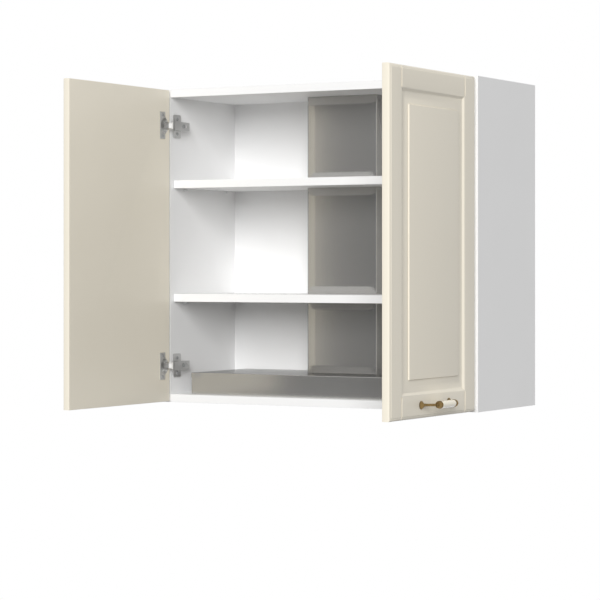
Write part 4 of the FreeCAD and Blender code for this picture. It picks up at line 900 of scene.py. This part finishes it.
def build_handle(side):
    """Posts and grip of one door's handle."""
    mirrored = side == "right"
    body = f"door_{side}"
    middle = door_point(mirrored, HANDLE_ALONG, HANDLE_UP - DOOR_LOW, 0.0)
    axis_point = middle + outwards(mirrored) * HANDLE_REACH * MM
    posts = bmesh.new()
    for way in (-1, 1):
        foot = middle + Vector((0, way * FOOT_SPREAD * MM, 0))
        head = axis_point + Vector((0, way * HEAD_SPREAD * MM, 0))
        spin(posts, ROSETTE, foot, outwards(mirrored))
        spin(posts, LEG, foot, head - foot)
        spin(posts, HEAD, head, (0, -way, 0))
    grip = spin(bmesh.new(), grip_outline(), axis_point, (0, 1, 0), GRIP_TURNS)
    return [
        mesh_piece(f"turned_posts_{side}", posts, brass, body, f"handle_posts_{side}"),
        mesh_piece(f"porcelain_grip_{side}", grip, porcelain, body, f"handle_grip_{side}"),
    ]


for side in ("left", "right"):
    print([piece.name for piece in build_handle(side)])

# %% [markdown]
# ## Surround
# The picture has a plain white ground. A white world would give that, but at full strength it would also
# flood the object with light. A Light Path node tells the two apart: rays from the camera, and rays that
# steel or glass sends on, meet white at a strength of one, and all other rays meet a dim fill. The fill
# is brighter above than below, as in a room, so undersides stay in shade.

# %% White surround
FILL, SLANT = 0.29, 0.19
BRIGHTER_SIDE = (0.0, 0.2, 0.98)

scene = bpy.context.scene
scene.view_settings.view_transform = "Standard"
world = bpy.data.worlds.new("white_surround")
scene.world = world
world.use_nodes = True
sky = world.node_tree
for old in list(sky.nodes):
    sky.nodes.remove(old)
path = add_node(sky, "ShaderNodeLightPath")
seen = add_node(sky, "ShaderNodeMath", {"operation": "MAXIMUM"},
                {0: path.outputs["Is Camera Ray"], 1: path.outputs["Is Glossy Ray"]})
seen_through = add_node(sky, "ShaderNodeMath", {"operation": "MAXIMUM"},
                        {0: seen.outputs["Value"], 1: path.outputs["Is Transmission Ray"]})
direction = add_node(sky, "ShaderNodeTexCoord").outputs["Generated"]
upwards = add_node(sky, "ShaderNodeVectorMath", {"operation": "DOT_PRODUCT", 1: BRIGHTER_SIDE},
                   {0: direction})
fill = add_node(sky, "ShaderNodeMapRange",
                {"From Min": -1.0, "To Min": FILL - SLANT, "To Max": FILL + SLANT},
                {"Value": upwards.outputs["Value"]})
strength = add_node(sky, "ShaderNodeMix", {3: 1.0},
                    {0: seen_through.outputs["Value"], 2: fill.outputs["Result"]})
surround = add_node(sky, "ShaderNodeBackground", {"Color": (1, 1, 1, 1)}, {"Strength": strength.outputs[0]})
add_node(sky, "ShaderNodeOutputWorld", {}, {"Surface": surround.outputs["Background"]})
print("fill from", round(FILL - SLANT, 2), "below to", round(FILL + SLANT, 2), "above")

# %% [markdown]
# ## Floor
# The cabinet hangs on a wall, and the floor lies well below it, where a kitchen floor would be. It is
# pale paint with a little glow of its own, so that it comes out nearly white under a low lamp and still
# keeps the cabinet's shadow. A shadow catcher would keep it too, but its picture has to be laid over white
# afterwards. The floor sends no light back to the cabinet, which is lit by the surround and the lamp
# alone. From below it is clear, by the Geometry node's Backfacing output, so that the cabinet's underside
# can be looked at too.

# %% Pale floor
FLOOR_Z, FLOOR_HALF = -2.1, 4


def staged(name, corners, material):
    """A single flat sheet that belongs to the studio and not to the object."""
    data = bpy.data.meshes.new(name)
    data.from_pydata(corners, [], [(0, 1, 2, 3)])
    data.materials.append(material)
    sheet = bpy.data.objects.new(name, data)
    scene.collection.objects.link(sheet)
    return sheet


floor_paint, floor_tree, floor_shader = new_material(
    "pale_floor", Base_Color=linear("F4F4F4"), Roughness=1.0,
    Emission_Color=(1, 1, 1, 1), Emission_Strength=0.4)
facing = add_node(floor_tree, "ShaderNodeNewGeometry")
from_above = add_node(floor_tree, "ShaderNodeMath", {"operation": "SUBTRACT", 0: 1.0},
                      {1: facing.outputs["Backfacing"]})
floor_tree.links.new(from_above.outputs["Value"], floor_shader.inputs["Alpha"])
square = ((-1, -1), (1, -1), (1, 1), (-1, 1))
floor = staged("floor", [(x * FLOOR_HALF, y * FLOOR_HALF, FLOOR_Z) for x, y in square], floor_paint)
for kind_of_ray in ("diffuse", "glossy", "shadow"):
    setattr(floor, f"visible_{kind_of_ray}", False)
print("floor at", FLOOR_Z, "m")

# %% [markdown]
# ## Grey flag
# Steel shows what stands round it. In an all-white surround it would look like white paint, so a
# photographer puts up a dark sheet, called a flag, where the metal's reflection should be grey. This one
# stands far off in front, to the left. Only glossy rays meet it, so it shows in reflections and nowhere
# else, and it casts no shadow.

# %% Grey flag
FLAG_HALF, FLAG_LOW, FLAG_HIGH, FLAG_GLOW = 10, -8, 1.6, 0.13
FLAG_PLACE, FLAG_TURN = (-5.7, -8.2, 0), math.radians(-35)

flag_cloth, _, _ = new_material("grey_flag_cloth", Base_Color=(0, 0, 0, 1), Roughness=1.0,
                                Emission_Color=(1, 1, 1, 1), Emission_Strength=FLAG_GLOW)
flag_corners = [(-FLAG_HALF, 0, FLAG_LOW), (FLAG_HALF, 0, FLAG_LOW), (FLAG_HALF, 0, FLAG_HIGH),
                (-FLAG_HALF, 0, FLAG_HIGH)]
flag = staged("grey_flag", flag_corners, flag_cloth)
flag.location = FLAG_PLACE
flag.rotation_euler = (0, 0, FLAG_TURN)
for kind_of_ray in ("camera", "diffuse", "transmission", "shadow", "volume_scatter"):
    setattr(flag, f"visible_{kind_of_ray}", False)
print("grey flag at", [round(v, 2) for v in flag.location], "m")

# %% [markdown]
# ## Lamp
# Faces that look forward are the brightest in the picture, those that look to the right are about a third
# darker, and the shelves' shadows are broad and soft. One large lamp gives all of that, from the front, a
# little from the right and above. It stands far away, so that near and far ends of the cabinet get the
# same light. A sun lamp is as even, but a lamp with a size in metres is easier to picture. Glossy rays
# don't meet it: its mirror image would burn white patches into the satin boards when they are seen from
# other sides.

# %% Front lamp
CABINET_MIDDLE = Vector((0, -0.15, -0.32))
LAMP_DISTANCE, LAMP_SIZE, LAMP_POWER = 24.0, 12.0, 5160.0
LAMP_TURN, LAMP_RISE = math.radians(22.5), math.radians(18)

lamp = bpy.data.lights.new("front_lamp", "AREA")
lamp.size = LAMP_SIZE
lamp.energy = LAMP_POWER
lamp_holder = bpy.data.objects.new("front_lamp", lamp)
lamp_holder.visible_glossy = False
scene.collection.objects.link(lamp_holder)
lamp_way = Vector((math.sin(LAMP_TURN) * math.cos(LAMP_RISE), -math.cos(LAMP_TURN) * math.cos(LAMP_RISE),
                   math.sin(LAMP_RISE)))
lamp_holder.location = CABINET_MIDDLE + lamp_way * LAMP_DISTANCE
lamp_holder.rotation_euler = (-lamp_way).to_track_quat("-Z", "Y").to_euler()
print("lamp at", [round(v, 2) for v in lamp_holder.location], "m")

# %% [markdown]
# ## Camera
# The camera was found by matching the cabinet's corners: a long lens, level, turned about 30 degrees to
# the left. A level camera keeps upright edges upright. The horizon lies a little above the picture's
# middle, so the lens is shifted down a little. Tilting the camera would move the horizon too, but it
# would make the uprights lean.

# %% Level camera
PICTURE, FOCAL, HORIZON, YAW = 600.0, 2320.2, 267.9, 29.68
CAMERA_X, CAMERA_Y, CAMERA_HEIGHT = 2527.0, -4801.0, 309.0

lens = bpy.data.cameras.new("level_long_lens")
lens.sensor_width = 36.0
lens.lens = FOCAL / PICTURE * lens.sensor_width
lens.shift_y = (HORIZON - PICTURE / 2) / PICTURE
lens.clip_end = 60.0
camera = bpy.data.objects.new("camera", lens)
scene.collection.objects.link(camera)
camera.location = (CAMERA_X * MM, CAMERA_Y * MM, at_height(CAMERA_HEIGHT))
camera.rotation_euler = (math.radians(90), 0, math.radians(YAW))
scene.camera = camera
print("camera at", [round(v, 3) for v in camera.location], "m, lens", round(lens.lens, 1), "mm")
